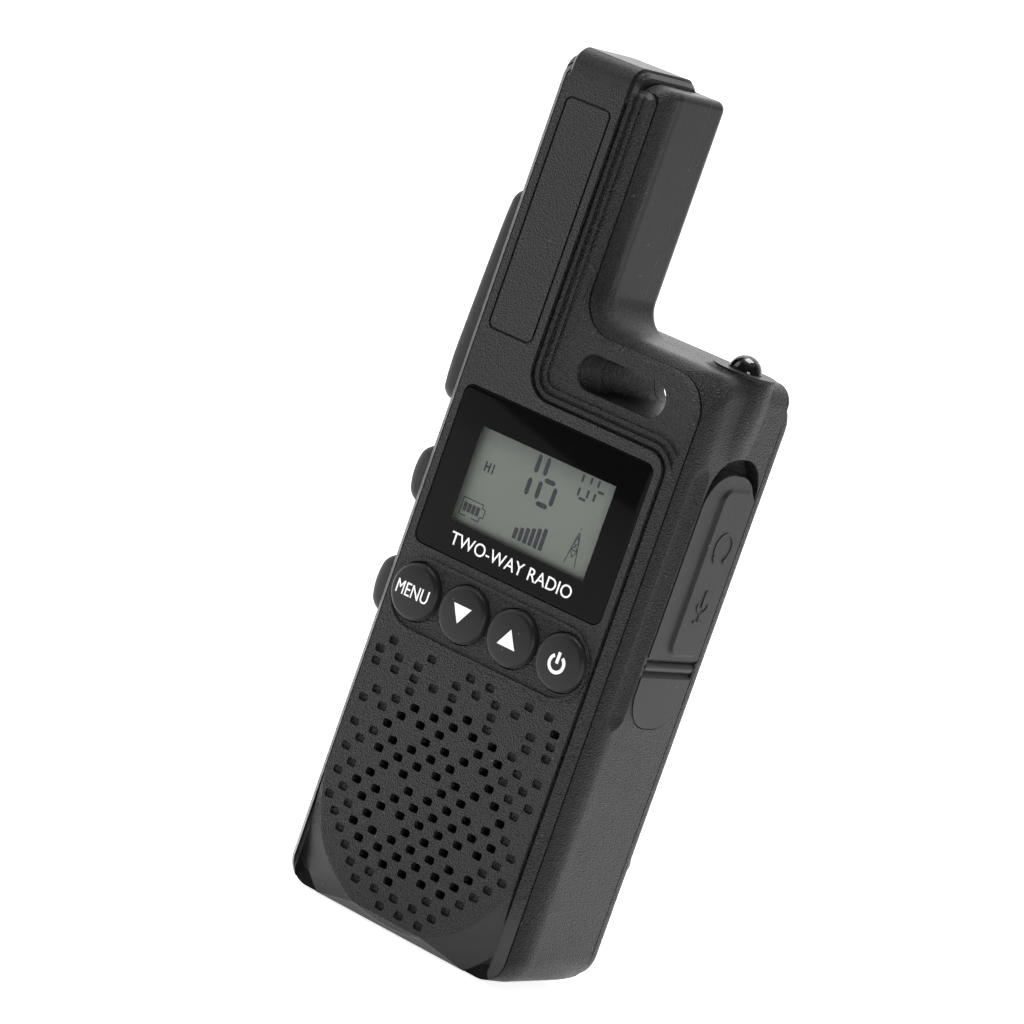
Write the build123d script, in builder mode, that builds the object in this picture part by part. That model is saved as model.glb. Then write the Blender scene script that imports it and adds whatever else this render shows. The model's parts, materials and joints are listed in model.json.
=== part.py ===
from build123d import *
import os

# Hand-held two-way radio, standing on its base: +Z up, -Y is the face with the display.
# The origin is the middle of the flat base. All sizes are in millimetres.

# ---- overall sizes
body_width = 44.4
body_depth = 24.8
shoulder_rise = 13.4        # from the display's panel to the top of the shoulder
antenna_rise = 35.2         # from the shoulder to the top of the antenna's side walls
cap_height = 1.5            # crown of the antenna above its side walls
antenna_width = 19.9        # at the case's left-hand side
antenna_depth = 18.6
base_corner = 5.4           # corner radius of the outline at the base
base_sweep = 8.0            # the base sweeps up into the back with this radius
shoulder_corner = 3.0
front_shoulder = 6.0        # the same corner at the front seam
antenna_corner = 1.2
antenna_rear = 2.0          # rounding of the antenna's rear edges
root_radius = 4.2           # hollow corner between antenna and shoulder

# ---- fits, one place for each
seam = 0.2                  # gap between covers where they meet
fit = 0.02                  # pieces fixed to each other
snug_gap = 0.05
pin_gap = 0.1
inner_gap = 0.2             # between fixed inner pieces

# ---- shells
wall = 2.6                  # side walls of the middle housing
edge_inset = 1.4            # the front edge stands this far inside the side walls
edge_depth = 4.4            # depth of the sloped edge behind the front seam
edge_sections = (0, 1 / 3, 2 / 3, 1)        # where the sloped edge is drawn, front to back
front_step = 1.1            # the raised panel stands this far above the lower face
edge_bevel = 1.85           # 45 degree bevel all round the front cover
plate = 1.4                 # front cover behind its lower face
lip_wall = 1.2
lip_depth = 2.0
lip_gap = 0.15
base_lift = 0.3             # covers stop this far above the base
back_thickness = 2.7
back_drop = 0.5             # the back cover ends this far below the shoulder
back_edge = 2.0
back_corner = 6.0
partition = 1.4             # wall between electronics and battery
beyond = 1.0                # cutting shapes reach this far past what they cut

# ---- raised panel and its double groove
panel_margin = edge_bevel
antenna_strip = 4.3         # lower face beside the raised panel, up the antenna
panel_corner = 3.0
panel_root = 4.6            # hollow corner of the raised panel beside the antenna
groove_width = 0.45
groove_floor = 0.15         # the grooves' floor stands this far above the lower face
ridge_width = 0.7
ridge_drop = 0.4
chin_radius = 18.85
chin_height = 19.8
chin_slope = 0.34
chin_depth = 3.0
crown_lap = 3.1             # the crown reaches this far down between the side walls
crown_face = 5.4            # and this far down the face
crown_front = 2.8
crown_rear = 2.4
crown_depth = 16.6
crown_edge = 0.6
label_width = 8.5
label_drop = 6.6            # the line round the label starts this far below the shoulder
label_head = 5.8            # and ends this far below the antenna's side walls
label_groove = 0.35
label_corner = 1.2

# ---- display
window_width = 35.3
window_height = 24.7
window_foot = 1.55          # from the buttons' rim up to the window
window_head = 1.85          # from the window up to the panel's top edge
window_corner = 1.6
window_thickness = 0.7
window_sink = 0.05
window_gap = 0.12
view_side = 4.15            # black border beside the view, then above and below it
view_end = 3.85
view_gap = 0.2              # round the display module's glass
module_rim = 2.0            # the module reaches this far behind the border
module_thickness = 1.6
backlight_thickness = 1.6
backlight_step = 0.5        # the backlight ends this far inside the module

# ---- front buttons
button_pitch = 9.28
button_count = 4
button_radius = 4.33
button_rise = 1.25
button_lift = 0.3           # the buttons' middle above the rim's
button_gap = 0.2
button_travel = 0.7
button_edge = 0.9
button_flange_thickness = 0.7
button_flange_width = 1.9 * button_radius
button_flange_corner = 1.0
button_tab = 0.9
flange_gap = 0.15           # from each button's flange to the cover
rim_width = 0.5
rim_rise = 0.22
rim_length = 37.6
rim_clear = 1.37            # from each button to the rim's outside
rim_gap = 2.1               # from the grille's top row to the rim

# ---- speaker grille
grille_pitch = 3.735
row_pitch = 1.94
row_foot = 3.54             # lowest row above the base
hole_width = 1.65
hole_height = 1.2
hole_corner = 0.4
dimple_depth = 0.4
# one word per row, from the top: O is open, b is a blind dimple, . is left plain
grille_rows = [
    "b.b.bb.bb", "bbb.bbbb.O", "bbbbb.b.bb", "..b.OOb.bb", "bbOOOOOb.", "bbOOO.OObb", ".O.OOOObb",
    "bbOOOO.Obb", "bOOOOOOOb", "b.OO.OO.O.", "bO.OOOOOb", "bOOOOOOOOb", "bOOOOOOOb", "bbO.OOO.bb",
    "bOOOOOOOb", ".bOOOOOOb.", ".bOOOOOb.", "..bbO.bb..", "..bbbbb..", "....bbb...",
]

# ---- lanyard slot
slot_length = 16.1
slot_height = 5.5
slot_x = 7.0
slot_drop = 6.8             # its middle below the shoulder
slot_wall = 1.0
slot_front_depth = 7.6

# ---- side keys, on the left
key_y = -4.5
key_width = 8.6
key_corner = 2.2
key_gap = 0.2
key_rise = 3.0
key_travel = 0.8
key_flange = 0.8
key_flange_gap = 0.15
key_flange_rim = 0.6
key_flange_corner = 2.5
key_root = 0.1              # the key goes this far into its flange
key_flange_front = 0.8      # the flange starts this far behind the key's front edge
key_top_drop = 0.5          # the arch is lower by this at its upper end
key_flank = 6.0             # longest slope of the arch
key_flank_part = 0.55       # the slope as a part of half the key, for the short keys
key_low_part = 0.6          # the lower slope as a part of the upper
key_lip_room = 1.0          # the locating lip stops this far from each key
ptt_length = 33.4
ptt_drop = 3.0              # its middle below the shoulder
ptt_switch_drop = 13.0      # the talk key's switch sits this far below its middle
side_key_length = 9.6
side_key_drop = 28.2        # from the talk key's middle down to the upper key's
side_key_pitch = 17.4

# ---- jack cover, on the right
cover_y = 2.6
cover_width = 13.2
cover_drop = 14.0           # its top below the shoulder
cover_length = 39.4
cover_corner = 5.6
cover_gap = 0.15
recess_depth = 2.3
finger_room = 2.4           # recess above the cover, to lift it by
cover_rise = 0.1
facet_rise = 0.45
facet_margin = 4.3          # from the cover's front edge to its raised face
facet_rear = 0.3
facet_foot = 1.2            # from the hinge bar to the raised face
facet_head = 2.0
facet_corner = 2.0
facet_taper = 40
hinge_rise = 9.4            # the hinge bar above the cover's lower end
hinge_bar = 0.8
hinge_gap = 0.12
hinge_inset = 0.75          # the hinge bar's axis below the side face
hinge_shelf = 0.4
hinge_end_gap = 0.2
flap_chamfer = 0.6
jack_thickening = 1.6
jack_pad_rim = 0.5          # the thickened wall reaches this far beyond the recess

# ---- sockets and their plugs
earphone_drop = 10.8        # below the cover's top
earphone_radius = 1.8
microphone_drop = 20.0
microphone_radius = 1.3
jack_y = 4.6
jack_length = 12.0
nose_wall = 0.8
nose_length = 1.9
socket_size = 5.6
socket_corner = 0.6
socket_floor = 1.0
socket_room_foot = 3.4      # room for the sockets, below the lower one
socket_room_head = 6.4      # and above the upper one
plug_length = 1.3
plug_gap = 0.4

# ---- valley in front of the jack cover
valley_y = -7.0
valley_radius = 4.6
valley_depth = 0.65
valley_end = 3.0            # the valley goes on this far past the cover

# ---- light, and the boss it stands in
light_x = 18.0
light_y = 1.5
light_radius = 2.5
light_sink = 0.2            # the dome starts this far inside the boss
light_gap = 0.1
light_drop = 6.4            # foot of the light's stem below the shoulder
lamp_seat = 1.2
boss_radius = 4.5
collar_radius = 4.85        # flat collar on top of the boss
collar_thickness = 0.5
boss_rise = 0.7
boss_swell = 0.7
boss_length = 16.0
boss_middle = 0.45 * boss_length            # the boss is fullest this far down
boss_middle_back = (4.6, 0.8)               # its centre there, in from the light's
boss_middle_half = 8.6
boss_foot_back = (4.0, 1.0)
boss_foot_in = 0.5
boss_foot_half = 8.0

# ---- battery, its contacts and its door
contact_room = 2.5          # at each end of the battery
contact_x = 8.0
contact_width = 6.0
contact_leaf = 0.4
contact_depth = 3.0
battery_width = 33.0
battery_bottom = 8.0
battery_head = 1.5          # wall between the battery's bay and the sockets' room
battery_thickness = 6.0
battery_corner = 2.0
battery_edge = 0.8
battery_gap = 0.3
door_width = 34.0
door_lap = 10.0             # the door reaches this far up over the sockets' room
door_gap = 0.25
door_thickness = 1.7
door_corner = 1.5
door_foot = 0.6
rib_drop = 8.0              # first rib below the door's top edge
rib_pitch = 2.2
rib_count = 5
rib_width = 14.0
rib_height = 1.0
rib_depth = 0.5

# ---- circuit board and what stands on it
board_side = 2.3            # from the board's edges to the side walls
board_gap = 0.8
board_thickness = 1.2
board_top_corner = 1.5
board_foot_corner = 5.0
shield_width = 26.0
shield_drop = 0.7           # shorter than the window by this
shield_depth = 2.4
shield_wall = 0.3
shield_corner = 1.0
switch_size = 4.4
switch_corner = 0.4
side_switch_depth = 3.0
side_plunger = 0.9
plunger_gap = 0.25
plunger_rise = 0.5
plunger_radius = 1.2

# ---- speaker and microphone
speaker_radius = 14.5
speaker_depth = 3.6
frame_rim = 1.4             # the frame's front ring, then the floor behind its cone
frame_floor = 0.8
cone_lift = 0.5
cone_margin = 2.9
cone_throat = 2.6
cone_back = 1.2
cone_wall = 0.4
magnet_radius = 8.0
magnet_depth = 3.2
magnet_edge = 0.4
magnet_overlap = 1.0
cloth_thickness = 0.3
microphone_x = 16.0
capsule_radius = 2.0
capsule_length = 2.2

# ---- aerial
coil_rise = 1.6             # lowest turn above the shoulder
coil_radius = 3.0
coil_wire = 0.5
coil_pitch = 2.6
coil_turns = 10
former_end = 2.0            # the former goes on past the coil
former_flange = 0.8
former_flange_drop = 3.0
former_flange_thickness = 1.2

# ---- screws
screw_radius = 1.25
screw_head = 2.2
screw_head_depth = 1.2
screw_sink = 0.3
screw_length = 9.0
screw_cross = (0.7, 2.4)    # width and length of the cross in the head
screw_x_top = 17.4
screw_drop = 14.8           # the upper screws below the shoulder
screw_x_low = 19.5
screw_z_low = 20.0

# ---- worked out from the sizes above
front_y = -body_depth / 2
back_y = body_depth / 2
row_top = row_foot + (len(grille_rows) - 1) * row_pitch
rim_height = 2 * (button_radius + rim_clear)
rim_middle = row_top + rim_gap + rim_height / 2
button_height = rim_middle + button_lift
window_middle = rim_middle + rim_height / 2 + window_foot + window_height / 2
panel_top = window_middle + window_height / 2 + window_head
shoulder_height = panel_top + shoulder_rise             # top of the case beside the antenna
antenna_height = shoulder_height + antenna_rise         # top of the antenna's side walls
label_bottom = shoulder_height - label_drop
label_height = antenna_height - label_head - label_bottom
view_width = window_width - 2 * view_side
view_height = window_height - 2 * view_end
module_width = view_width + 2 * module_rim
module_height = view_height + 2 * module_rim
shield_height = window_height - shield_drop
speaker_height = (row_foot + row_top) / 2
slot_z = shoulder_height - slot_drop
ptt_height = shoulder_height - ptt_drop
side_key_top = ptt_height - side_key_drop
side_keys = {
    "ptt_key": (ptt_length, ptt_height),
    "side_key_upper": (side_key_length, side_key_top),
    "side_key_lower": (side_key_length, side_key_top - side_key_pitch),
}
cover_top = shoulder_height - cover_drop
cover_bottom = cover_top - cover_length
hinge_height = cover_bottom + hinge_rise
earphone_height = cover_top - earphone_drop
microphone_height = cover_top - microphone_drop
socket_foot = microphone_height - socket_room_foot
socket_top = earphone_height + socket_room_head
valley_foot = cover_bottom - valley_end
valley_top = cover_top + valley_end
light_base = shoulder_height - light_drop
battery_height = socket_foot - battery_head - contact_room - battery_bottom
door_top = socket_foot + door_lap
coil_foot = shoulder_height + coil_rise
screw_z_top = shoulder_height - screw_drop
half_width = body_width / 2
low_y = front_y + front_step            # lower face of the front cover
seam_y = front_y + edge_bevel           # front seam
rear_seam_y = back_y - back_thickness   # rear seam
cover_half = half_width - edge_inset    # front cover at its seam
antenna_side = -half_width + antenna_width      # the antenna's right-hand side wall
antenna_edge = antenna_side - edge_inset        # front cover's edge beside it
antenna_x = (-half_width + antenna_side) / 2
antenna_y = front_y + antenna_depth / 2
cavity_half = half_width - wall
key_back = cavity_half - key_flange_gap - key_root
lip_inset = wall - edge_inset + lip_gap         # from the front seam's edge to the locating lip
inner_y = low_y + plate                 # back of the front cover's plate
board_y = inner_y + module_thickness + backlight_thickness + inner_gap
board_back = board_y + board_thickness
board_top = slot_z - slot_height / 2 - slot_wall - board_gap
switch_y = board_back + switch_size / 2 + fit
partition_y = rear_seam_y - battery_thickness - battery_gap - partition
lip_outer = cavity_half - lip_gap
lip_half = lip_outer - lip_wall
lip_shoulder = front_shoulder - lip_inset
panel_half = cover_half - panel_margin
panel_edge = antenna_edge - antenna_strip
button_xs = [(i - (button_count - 1) / 2) * button_pitch for i in range(button_count)]
button_names = ["menu_button", "down_button", "up_button", "power_button"]
crown_height = antenna_height + cap_height
hinge_x = half_width - hinge_inset
recess_x = half_width - recess_depth
jacks = {
    "earphone_jack": (earphone_height, earphone_radius),
    "microphone_jack": (microphone_height, microphone_radius),
}
screw_places = [
    (-screw_x_top, screw_z_top), (screw_x_top, screw_z_top),
    (-screw_x_low, screw_z_low), (screw_x_low, screw_z_low),
]
light_top = shoulder_height + boss_rise - light_sink


def at_y(y):
    """The XZ plane at depth y. Its normal points to the front, so backwards is negative."""
    return Plane.XZ.offset(-y)


def at_x(x):
    """The YZ plane at x. Its normal points to +X."""
    return Plane.YZ.offset(x)


def case_outline(y, half, antenna_right, inset, foot, tip_corner=antenna_corner, shoulder=shoulder_corner):
    """Front view of the case: a body with the antenna standing on its left-hand half."""
    top = shoulder_height - inset
    tip = antenna_height - inset
    base = base_corner - inset
    with BuildSketch(at_y(y), mode=Mode.PRIVATE) as outline:
        with BuildLine():
            FilletPolyline(
                (-half, foot), (half, foot), (half, top),
                (antenna_right, top), (antenna_right, tip), (-half, tip),
                radius=[base, base, shoulder, root_radius + inset, tip_corner, tip_corner],
                close=True,
            )
        make_face()
    return outline.sketch


def body_outline(y, half, top, foot, top_corner, foot_corner):
    """Front view of the body without the antenna."""
    with BuildSketch(at_y(y), mode=Mode.PRIVATE) as outline:
        with BuildLine():
            FilletPolyline(
                (-half, foot), (half, foot), (half, top), (-half, top),
                radius=[foot_corner, foot_corner, top_corner, top_corner],
                close=True,
            )
        make_face()
    return outline.sketch


def raised_outline(y, grow=0.0):
    """The raised panel: display and grille below, the antenna's face above."""
    half = panel_half + grow
    edge = panel_edge + grow
    with BuildSketch(at_y(y), mode=Mode.PRIVATE) as outline:
        with BuildLine():
            FilletPolyline(
                (-half, -beyond), (half, -beyond), (half, panel_top + grow), (edge, panel_top + grow),
                (edge, crown_height), (-half, crown_height),
                radius=[0, 0, panel_corner + grow, panel_root - grow, 0, 0],
                close=True,
            )
        make_face()
    return outline.sketch


def slot_sketch(y, grow=0.0):
    """The lanyard slot's outline, or one set outside it."""
    with BuildSketch(at_y(y), mode=Mode.PRIVATE) as outline:
        with Locations((slot_x, slot_z)):
            SlotOverall(slot_length + 2 * grow, slot_height + 2 * grow)
    return outline.sketch


def cover_sketch(x, grow=0.0, top=cover_top):
    """The jack cover's outline on the right-hand side."""
    low = cover_bottom - grow
    high = top + grow
    with BuildSketch(at_x(x), mode=Mode.PRIVATE) as outline:
        with Locations((cover_y, (low + high) / 2)):
            RectangleRounded(cover_width + 2 * grow, high - low, cover_corner + grow)
    return outline.sketch


def key_sketch(x, length, height, grow=0.0):
    """A side key's outline on the left-hand side."""
    with BuildSketch(at_x(x), mode=Mode.PRIVATE) as outline:
        with Locations((key_y, height)):
            RectangleRounded(key_width + 2 * grow, length + 2 * grow, key_corner + grow)
    return outline.sketch


def grille_sketch(mark):
    """The grille's openings where its rows have this mark."""
    places = []
    for row, marks in enumerate(grille_rows):
        for column, found in enumerate(marks):
            if found == mark:
                x = (column - (len(marks) - 1) / 2) * grille_pitch
                places.append((x, row_top - row * row_pitch))
    with BuildSketch(at_y(front_y), mode=Mode.PRIVATE) as openings:
        with Locations(places):
            RectangleRounded(hole_width, hole_height, hole_corner)
    return openings.sketch


# ---- front cover
# The crown carries the raised panel over the antenna's top, between the side walls.
# Its right-hand end carries the first ridge over, a little lower.
crown_right = panel_edge + groove_width + ridge_width
with BuildPart() as crown:
    for right, drop in ((panel_edge, 0), (crown_right, ridge_drop)):
        face_y = front_y + drop
        top = crown_height - drop
        with BuildSketch(at_x(-panel_half)):
            with BuildLine():
                FilletPolyline(
                    (face_y, crown_height - crown_face), (face_y, top), (front_y + crown_depth, top),
                    (front_y + crown_depth, crown_height - crown_lap), (seam_y, crown_height - crown_lap),
                    (seam_y, crown_height - crown_face),
                    radius=[0, crown_front, crown_rear, 0, 0, 0], close=True,
                )
            make_face()
        extrude(amount=right + panel_half)
    ends = crown.faces().filter_by(Axis.X)
    chamfer(ends.sort_by(Axis.X)[-1].edges().filter_by(Axis.Y).group_by(Axis.Z)[-1], crown_edge)
    chamfer(ends.sort_by(Axis.X)[0].edges().filter_by(Axis.Y).group_by(Axis.Z)[-1], crown_edge)

# The base sweeps up into the back: this wedge comes off every piece of the back.
with BuildPart() as sweep_cut:
    with BuildSketch(at_x(-half_width - beyond)):
        with BuildLine():
            corner = (back_y - base_sweep, base_sweep)
            Polyline(
                (back_y, base_sweep), (back_y + beyond, base_sweep), (back_y + beyond, -beyond),
                (corner[0], -beyond), (corner[0], 0),
            )
            CenterArc(corner, base_sweep, -90, 90)
        make_face()
    extrude(amount=2 * (half_width + beyond))

# All of the cover's outer shape lies inside this bevelled block.
with BuildPart() as envelope:
    extrude(
        case_outline(
            seam_y, cover_half, antenna_edge, edge_inset, base_lift, edge_bevel + pin_gap, front_shoulder,
        ),
        amount=edge_bevel,
    )
    chamfer(envelope.faces().sort_by(Axis.Y)[0].edges(), edge_bevel - fit)
    add(crown.part)

# The chin falls away from a circle under the grille.
with BuildPart() as chin_cut:
    with BuildSketch(at_y(front_y - beyond)):
        with Locations((0, chin_height / 2 - beyond)):
            Rectangle(2 * panel_half, chin_height + 2 * beyond)
    extrude(amount=-chin_depth - beyond)
    with BuildSketch(at_y(front_y - beyond)):
        with Locations((0, chin_height)):
            Circle(chin_radius - beyond / chin_slope)
    with BuildSketch(at_y(front_y + chin_depth)):
        with Locations((0, chin_height)):
            Circle(chin_radius + chin_depth / chin_slope)
    loft(mode=Mode.SUBTRACT)

with BuildPart() as front_cover:
    # lower face, then the two ridges, then the raised panel, each inside the one before
    extrude(
        case_outline(low_y, cover_half, antenna_edge, edge_inset, base_lift, shoulder=front_shoulder),
        amount=-(seam_y - low_y),
    )
    for ring in (2, 1):
        outside = ring * (groove_width + ridge_width)
        ridge_y = front_y + ridge_drop * ring
        extrude(raised_outline(ridge_y, outside), amount=-(seam_y - ridge_y))
        groove = raised_outline(low_y - groove_floor, outside - ridge_width)
        extrude(groove, amount=low_y - ridge_y, mode=Mode.SUBTRACT)
    extrude(raised_outline(front_y), amount=-(seam_y - front_y))
    add(crown.part)
    add(envelope.part, mode=Mode.INTERSECT)
    add(chin_cut.part, mode=Mode.SUBTRACT)
    # plate and locating lip, inside the middle housing
    extrude(
        case_outline(
            seam_y, lip_outer, antenna_edge - lip_inset, lip_inset + edge_inset, wall, shoulder=lip_shoulder,
        ),
        amount=-lip_depth,
    )
    extrude(
        case_outline(
            inner_y, lip_half, antenna_edge - lip_inset - lip_wall, lip_inset + lip_wall + edge_inset,
            wall + lip_wall + beyond,
        ),
        amount=-(seam_y + lip_depth - inner_y), mode=Mode.SUBTRACT,
    )
    # the lip stops at each side key
    for length, height in side_keys.values():
        with BuildSketch(at_y(inner_y)):
            with Locations((-lip_outer, height)):
                Rectangle(4 * lip_wall, length + 2 * (key_flange_rim + key_lip_room))
        extrude(amount=-(seam_y + lip_depth + beyond - inner_y), mode=Mode.SUBTRACT)

    # lanyard slot with its flange
    extrude(slot_sketch(low_y, slot_wall), amount=-(slot_front_depth - front_step))
    extrude(slot_sketch(front_y), amount=-slot_front_depth, mode=Mode.SUBTRACT)
    # display: a recess for the window, then the opening for the module
    with BuildSketch(at_y(front_y)):
        with Locations((0, window_middle)):
            RectangleRounded(window_width + 2 * window_gap, window_height + 2 * window_gap, window_corner)
    extrude(amount=-(window_sink + window_thickness + window_gap), mode=Mode.SUBTRACT)
    with BuildSketch(at_y(front_y)):
        with Locations((0, window_middle)):
            RectangleRounded(view_width, view_height, window_corner)
    extrude(amount=-(inner_y - front_y), mode=Mode.SUBTRACT)
    # rim round the buttons, and a hole for each
    with BuildSketch(at_y(front_y)):
        with Locations((0, rim_middle)):
            SlotOverall(rim_length, rim_height)
            SlotOverall(rim_length - 2 * rim_width, rim_height - 2 * rim_width, mode=Mode.SUBTRACT)
    extrude(amount=rim_rise)
    with BuildSketch(at_y(front_y)):
        with Locations([(x, button_height) for x in button_xs]):
            Circle(button_radius + button_gap)
    extrude(amount=-(inner_y - front_y), mode=Mode.SUBTRACT)
    # grille: rows of open holes and blind dimples, every second row set over by half a pitch
    extrude(grille_sketch("O"), amount=-(inner_y - front_y), mode=Mode.SUBTRACT)
    extrude(grille_sketch("b"), amount=-dimple_depth, mode=Mode.SUBTRACT)
    # fine line round the antenna's panel
    with BuildSketch(at_y(front_y)):
        with Locations(((panel_edge - panel_half) / 2, label_bottom + label_height / 2)):
            RectangleRounded(label_width, label_height, label_corner)
            RectangleRounded(
                label_width - 2 * label_groove, label_height - 2 * label_groove, label_corner - label_groove,
                mode=Mode.SUBTRACT,
            )
    extrude(amount=-label_groove, mode=Mode.SUBTRACT)
front_cover.part.label = "front_cover"

# ---- middle housing
with BuildPart() as middle_housing:
    loft([
        case_outline(
            seam_y + seam + (edge_depth - seam) * t, half_width - edge_inset * (1 - t) ** 2,
            antenna_side - edge_inset * (1 - t) ** 2, edge_inset * (1 - t) ** 2, base_lift * (1 - t),
            shoulder=shoulder_corner + (front_shoulder - shoulder_corner) * (1 - t),
        )
        for t in edge_sections
    ])
    extrude(
        case_outline(seam_y + edge_depth, half_width, antenna_side, 0, 0),
        amount=-(antenna_depth - edge_bevel - edge_depth),
    )
    rear_edges = middle_housing.faces().sort_by(Axis.Y)[-1].edges()
    rear_foot = shoulder_height + root_radius + back_edge
    fillet(rear_edges.filter_by(lambda e: e.center().Z > rear_foot), antenna_rear)
    extrude(
        body_outline(seam_y + edge_depth, half_width, shoulder_height, 0, shoulder_corner, base_corner),
        amount=-(rear_seam_y - seam - seam_y - edge_depth),
    )
    # valley in the side, in front of the jack cover
    valley_x = half_width + valley_radius - valley_depth
    valley_length = valley_top - valley_foot
    with BuildSketch(at_x(valley_x)):
        with Locations((valley_y, (valley_foot + valley_top) / 2)):
            SlotOverall(valley_length, 2 * valley_radius, rotation=90)
            Rectangle(2 * valley_radius, valley_length, align=(Align.MIN, Align.CENTER), mode=Mode.SUBTRACT)
    revolve(axis=Axis((valley_x, valley_y, 0), (0, 0, 1)), mode=Mode.SUBTRACT)
    # light boss on the shoulder, swelling into the side
    with BuildSketch(Plane.XY.offset(shoulder_height + boss_rise)):
        with Locations((light_x, light_y)):
            Circle(boss_radius)
    with BuildSketch(Plane.XY.offset(shoulder_height - boss_middle)):
        with Locations((light_x - boss_middle_back[0], light_y - boss_middle_back[1])):
            Ellipse(half_width + boss_swell - light_x + boss_middle_back[0], boss_middle_half)
    with BuildSketch(Plane.XY.offset(shoulder_height - boss_length)):
        with Locations((light_x - boss_foot_back[0], light_y - boss_foot_back[1])):
            Ellipse(half_width - light_x + boss_foot_back[0] - boss_foot_in, boss_foot_half)
    loft()
    with BuildSketch(Plane.XY.offset(shoulder_height + boss_rise)):
        with Locations((light_x, light_y)):
            Circle(collar_radius)
    extrude(amount=-collar_thickness)
    # room for the electronics, and for the aerial above
    extrude(
        case_outline(
            seam_y, cavity_half, antenna_edge - lip_inset + lip_gap, wall, wall,
            shoulder=lip_shoulder + lip_gap,
        ),
        amount=-(partition_y - seam_y), mode=Mode.SUBTRACT,
    )
    # channel for the crown
    with BuildSketch(at_y(seam_y)):
        with Locations(((crown_right - panel_half) / 2, crown_height - crown_lap / 2)):
            Rectangle(crown_right + panel_half + 2 * seam, crown_lap + 2 * seam)
    extrude(amount=-(crown_depth - edge_bevel + seam), mode=Mode.SUBTRACT)
    # battery bay, open at the back, and the room above it for the sockets
    with BuildSketch(at_y(rear_seam_y)):
        with Locations((0, battery_bottom + battery_height / 2)):
            Rectangle(battery_width + 2 * battery_gap, battery_height + 2 * contact_room)
        with Locations((0, (socket_foot + socket_top) / 2)):
            Rectangle(2 * cavity_half, socket_top - socket_foot)
    extrude(amount=battery_thickness + battery_gap, mode=Mode.SUBTRACT)
    with BuildSketch(at_y(rear_seam_y)):
        with Locations((0, (socket_foot + socket_top) / 2)):
            Rectangle(2 * cavity_half, socket_top - socket_foot)
    extrude(amount=rear_seam_y - partition_y + beyond, mode=Mode.SUBTRACT)
    # lanyard slot
    extrude(
        slot_sketch(front_y + slot_front_depth + seam, slot_wall),
        amount=-(rear_seam_y - front_y - slot_front_depth - 2 * seam),
    )
    extrude(slot_sketch(front_y + slot_front_depth), amount=-body_depth, mode=Mode.SUBTRACT)
    # thicker wall behind the jack cover, its recess, and a hole for each socket
    with BuildSketch(at_x(cavity_half - jack_thickening)):
        with Locations((cover_y, (cover_bottom + cover_top + finger_room) / 2)):
            Rectangle(
                cover_width + 2 * jack_pad_rim, cover_top + finger_room - cover_bottom + 4 * jack_pad_rim,
            )
    extrude(amount=jack_thickening + jack_pad_rim)
    extrude(
        cover_sketch(recess_x, cover_gap, cover_top + finger_room), amount=recess_depth + 3 * beyond,
        mode=Mode.SUBTRACT,
    )
    for height, radius in jacks.values():
        with BuildSketch(at_x(recess_x)):
            with Locations((jack_y, height)):
                Circle(radius + nose_wall + snug_gap)
        extrude(amount=-recess_depth - jack_thickening, mode=Mode.SUBTRACT)
    # holes for the side keys
    for length, height in side_keys.values():
        extrude(
            key_sketch(-cavity_half + beyond, length, height, key_gap), amount=-wall - 2 * beyond,
            mode=Mode.SUBTRACT,
        )
    # light's well
    with BuildSketch(Plane.XY.offset(shoulder_height + boss_rise)):
        with Locations((light_x, light_y)):
            Circle(light_radius + light_gap)
    extrude(amount=light_base - lamp_seat - shoulder_height - boss_rise, mode=Mode.SUBTRACT)
    # screw holes
    with BuildSketch(at_y(rear_seam_y)):
        with Locations(screw_places):
            Circle(screw_radius + snug_gap)
    extrude(amount=screw_length, mode=Mode.SUBTRACT)
    add(sweep_cut.part, mode=Mode.SUBTRACT)
middle_housing.part.label = "middle_housing"

# ---- back cover, with the battery door let into its lower part
with BuildPart() as back_cover:
    extrude(
        body_outline(
            rear_seam_y, half_width, shoulder_height - back_drop, base_lift, back_corner, base_corner,
        ),
        amount=-back_thickness,
    )
    fillet(back_cover.faces().sort_by(Axis.Y)[-1].edges(), back_edge)
    extrude(slot_sketch(rear_seam_y), amount=-back_thickness, mode=Mode.SUBTRACT)
    # the door's opening runs out through the lower edge; a step carries its edges
    with BuildSketch(at_y(back_y)):
        with Locations((0, (door_top + door_gap) / 2)):
            Rectangle(door_width + 2 * door_gap, door_top + door_gap)
    extrude(amount=door_thickness + door_gap, mode=Mode.SUBTRACT)
    with BuildSketch(at_y(back_y)):
        with Locations((0, battery_bottom + battery_height / 2)):
            Rectangle(battery_width - 2 * door_thickness, battery_height)
    extrude(amount=back_thickness, mode=Mode.SUBTRACT)
    with BuildSketch(at_y(back_y)):
        with Locations(screw_places):
            Circle(screw_head + door_gap)
    extrude(amount=screw_head_depth + screw_sink, mode=Mode.SUBTRACT)
    with BuildSketch(at_y(back_y)):
        with Locations(screw_places):
            Circle(screw_radius + snug_gap)
    extrude(amount=back_thickness, mode=Mode.SUBTRACT)
    add(sweep_cut.part, mode=Mode.SUBTRACT)
back_cover.part.label = "back_cover"

with BuildPart() as battery_door:
    with BuildSketch(at_y(back_y)):
        with Locations((0, (door_top + door_foot) / 2)):
            Rectangle(door_width, door_top - door_foot)
    extrude(amount=door_thickness)
    fillet(battery_door.edges().filter_by(Axis.Y).group_by(Axis.Z)[-1], door_corner)
    # ribs for the thumb
    with BuildSketch(at_y(back_y)):
        with Locations([(0, door_top - rib_drop - i * rib_pitch) for i in range(rib_count)]):
            SlotOverall(rib_width, rib_height)
    extrude(amount=rib_depth, mode=Mode.SUBTRACT)
    add(sweep_cut.part, mode=Mode.SUBTRACT)
battery_door.part.label = "battery_door"

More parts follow.
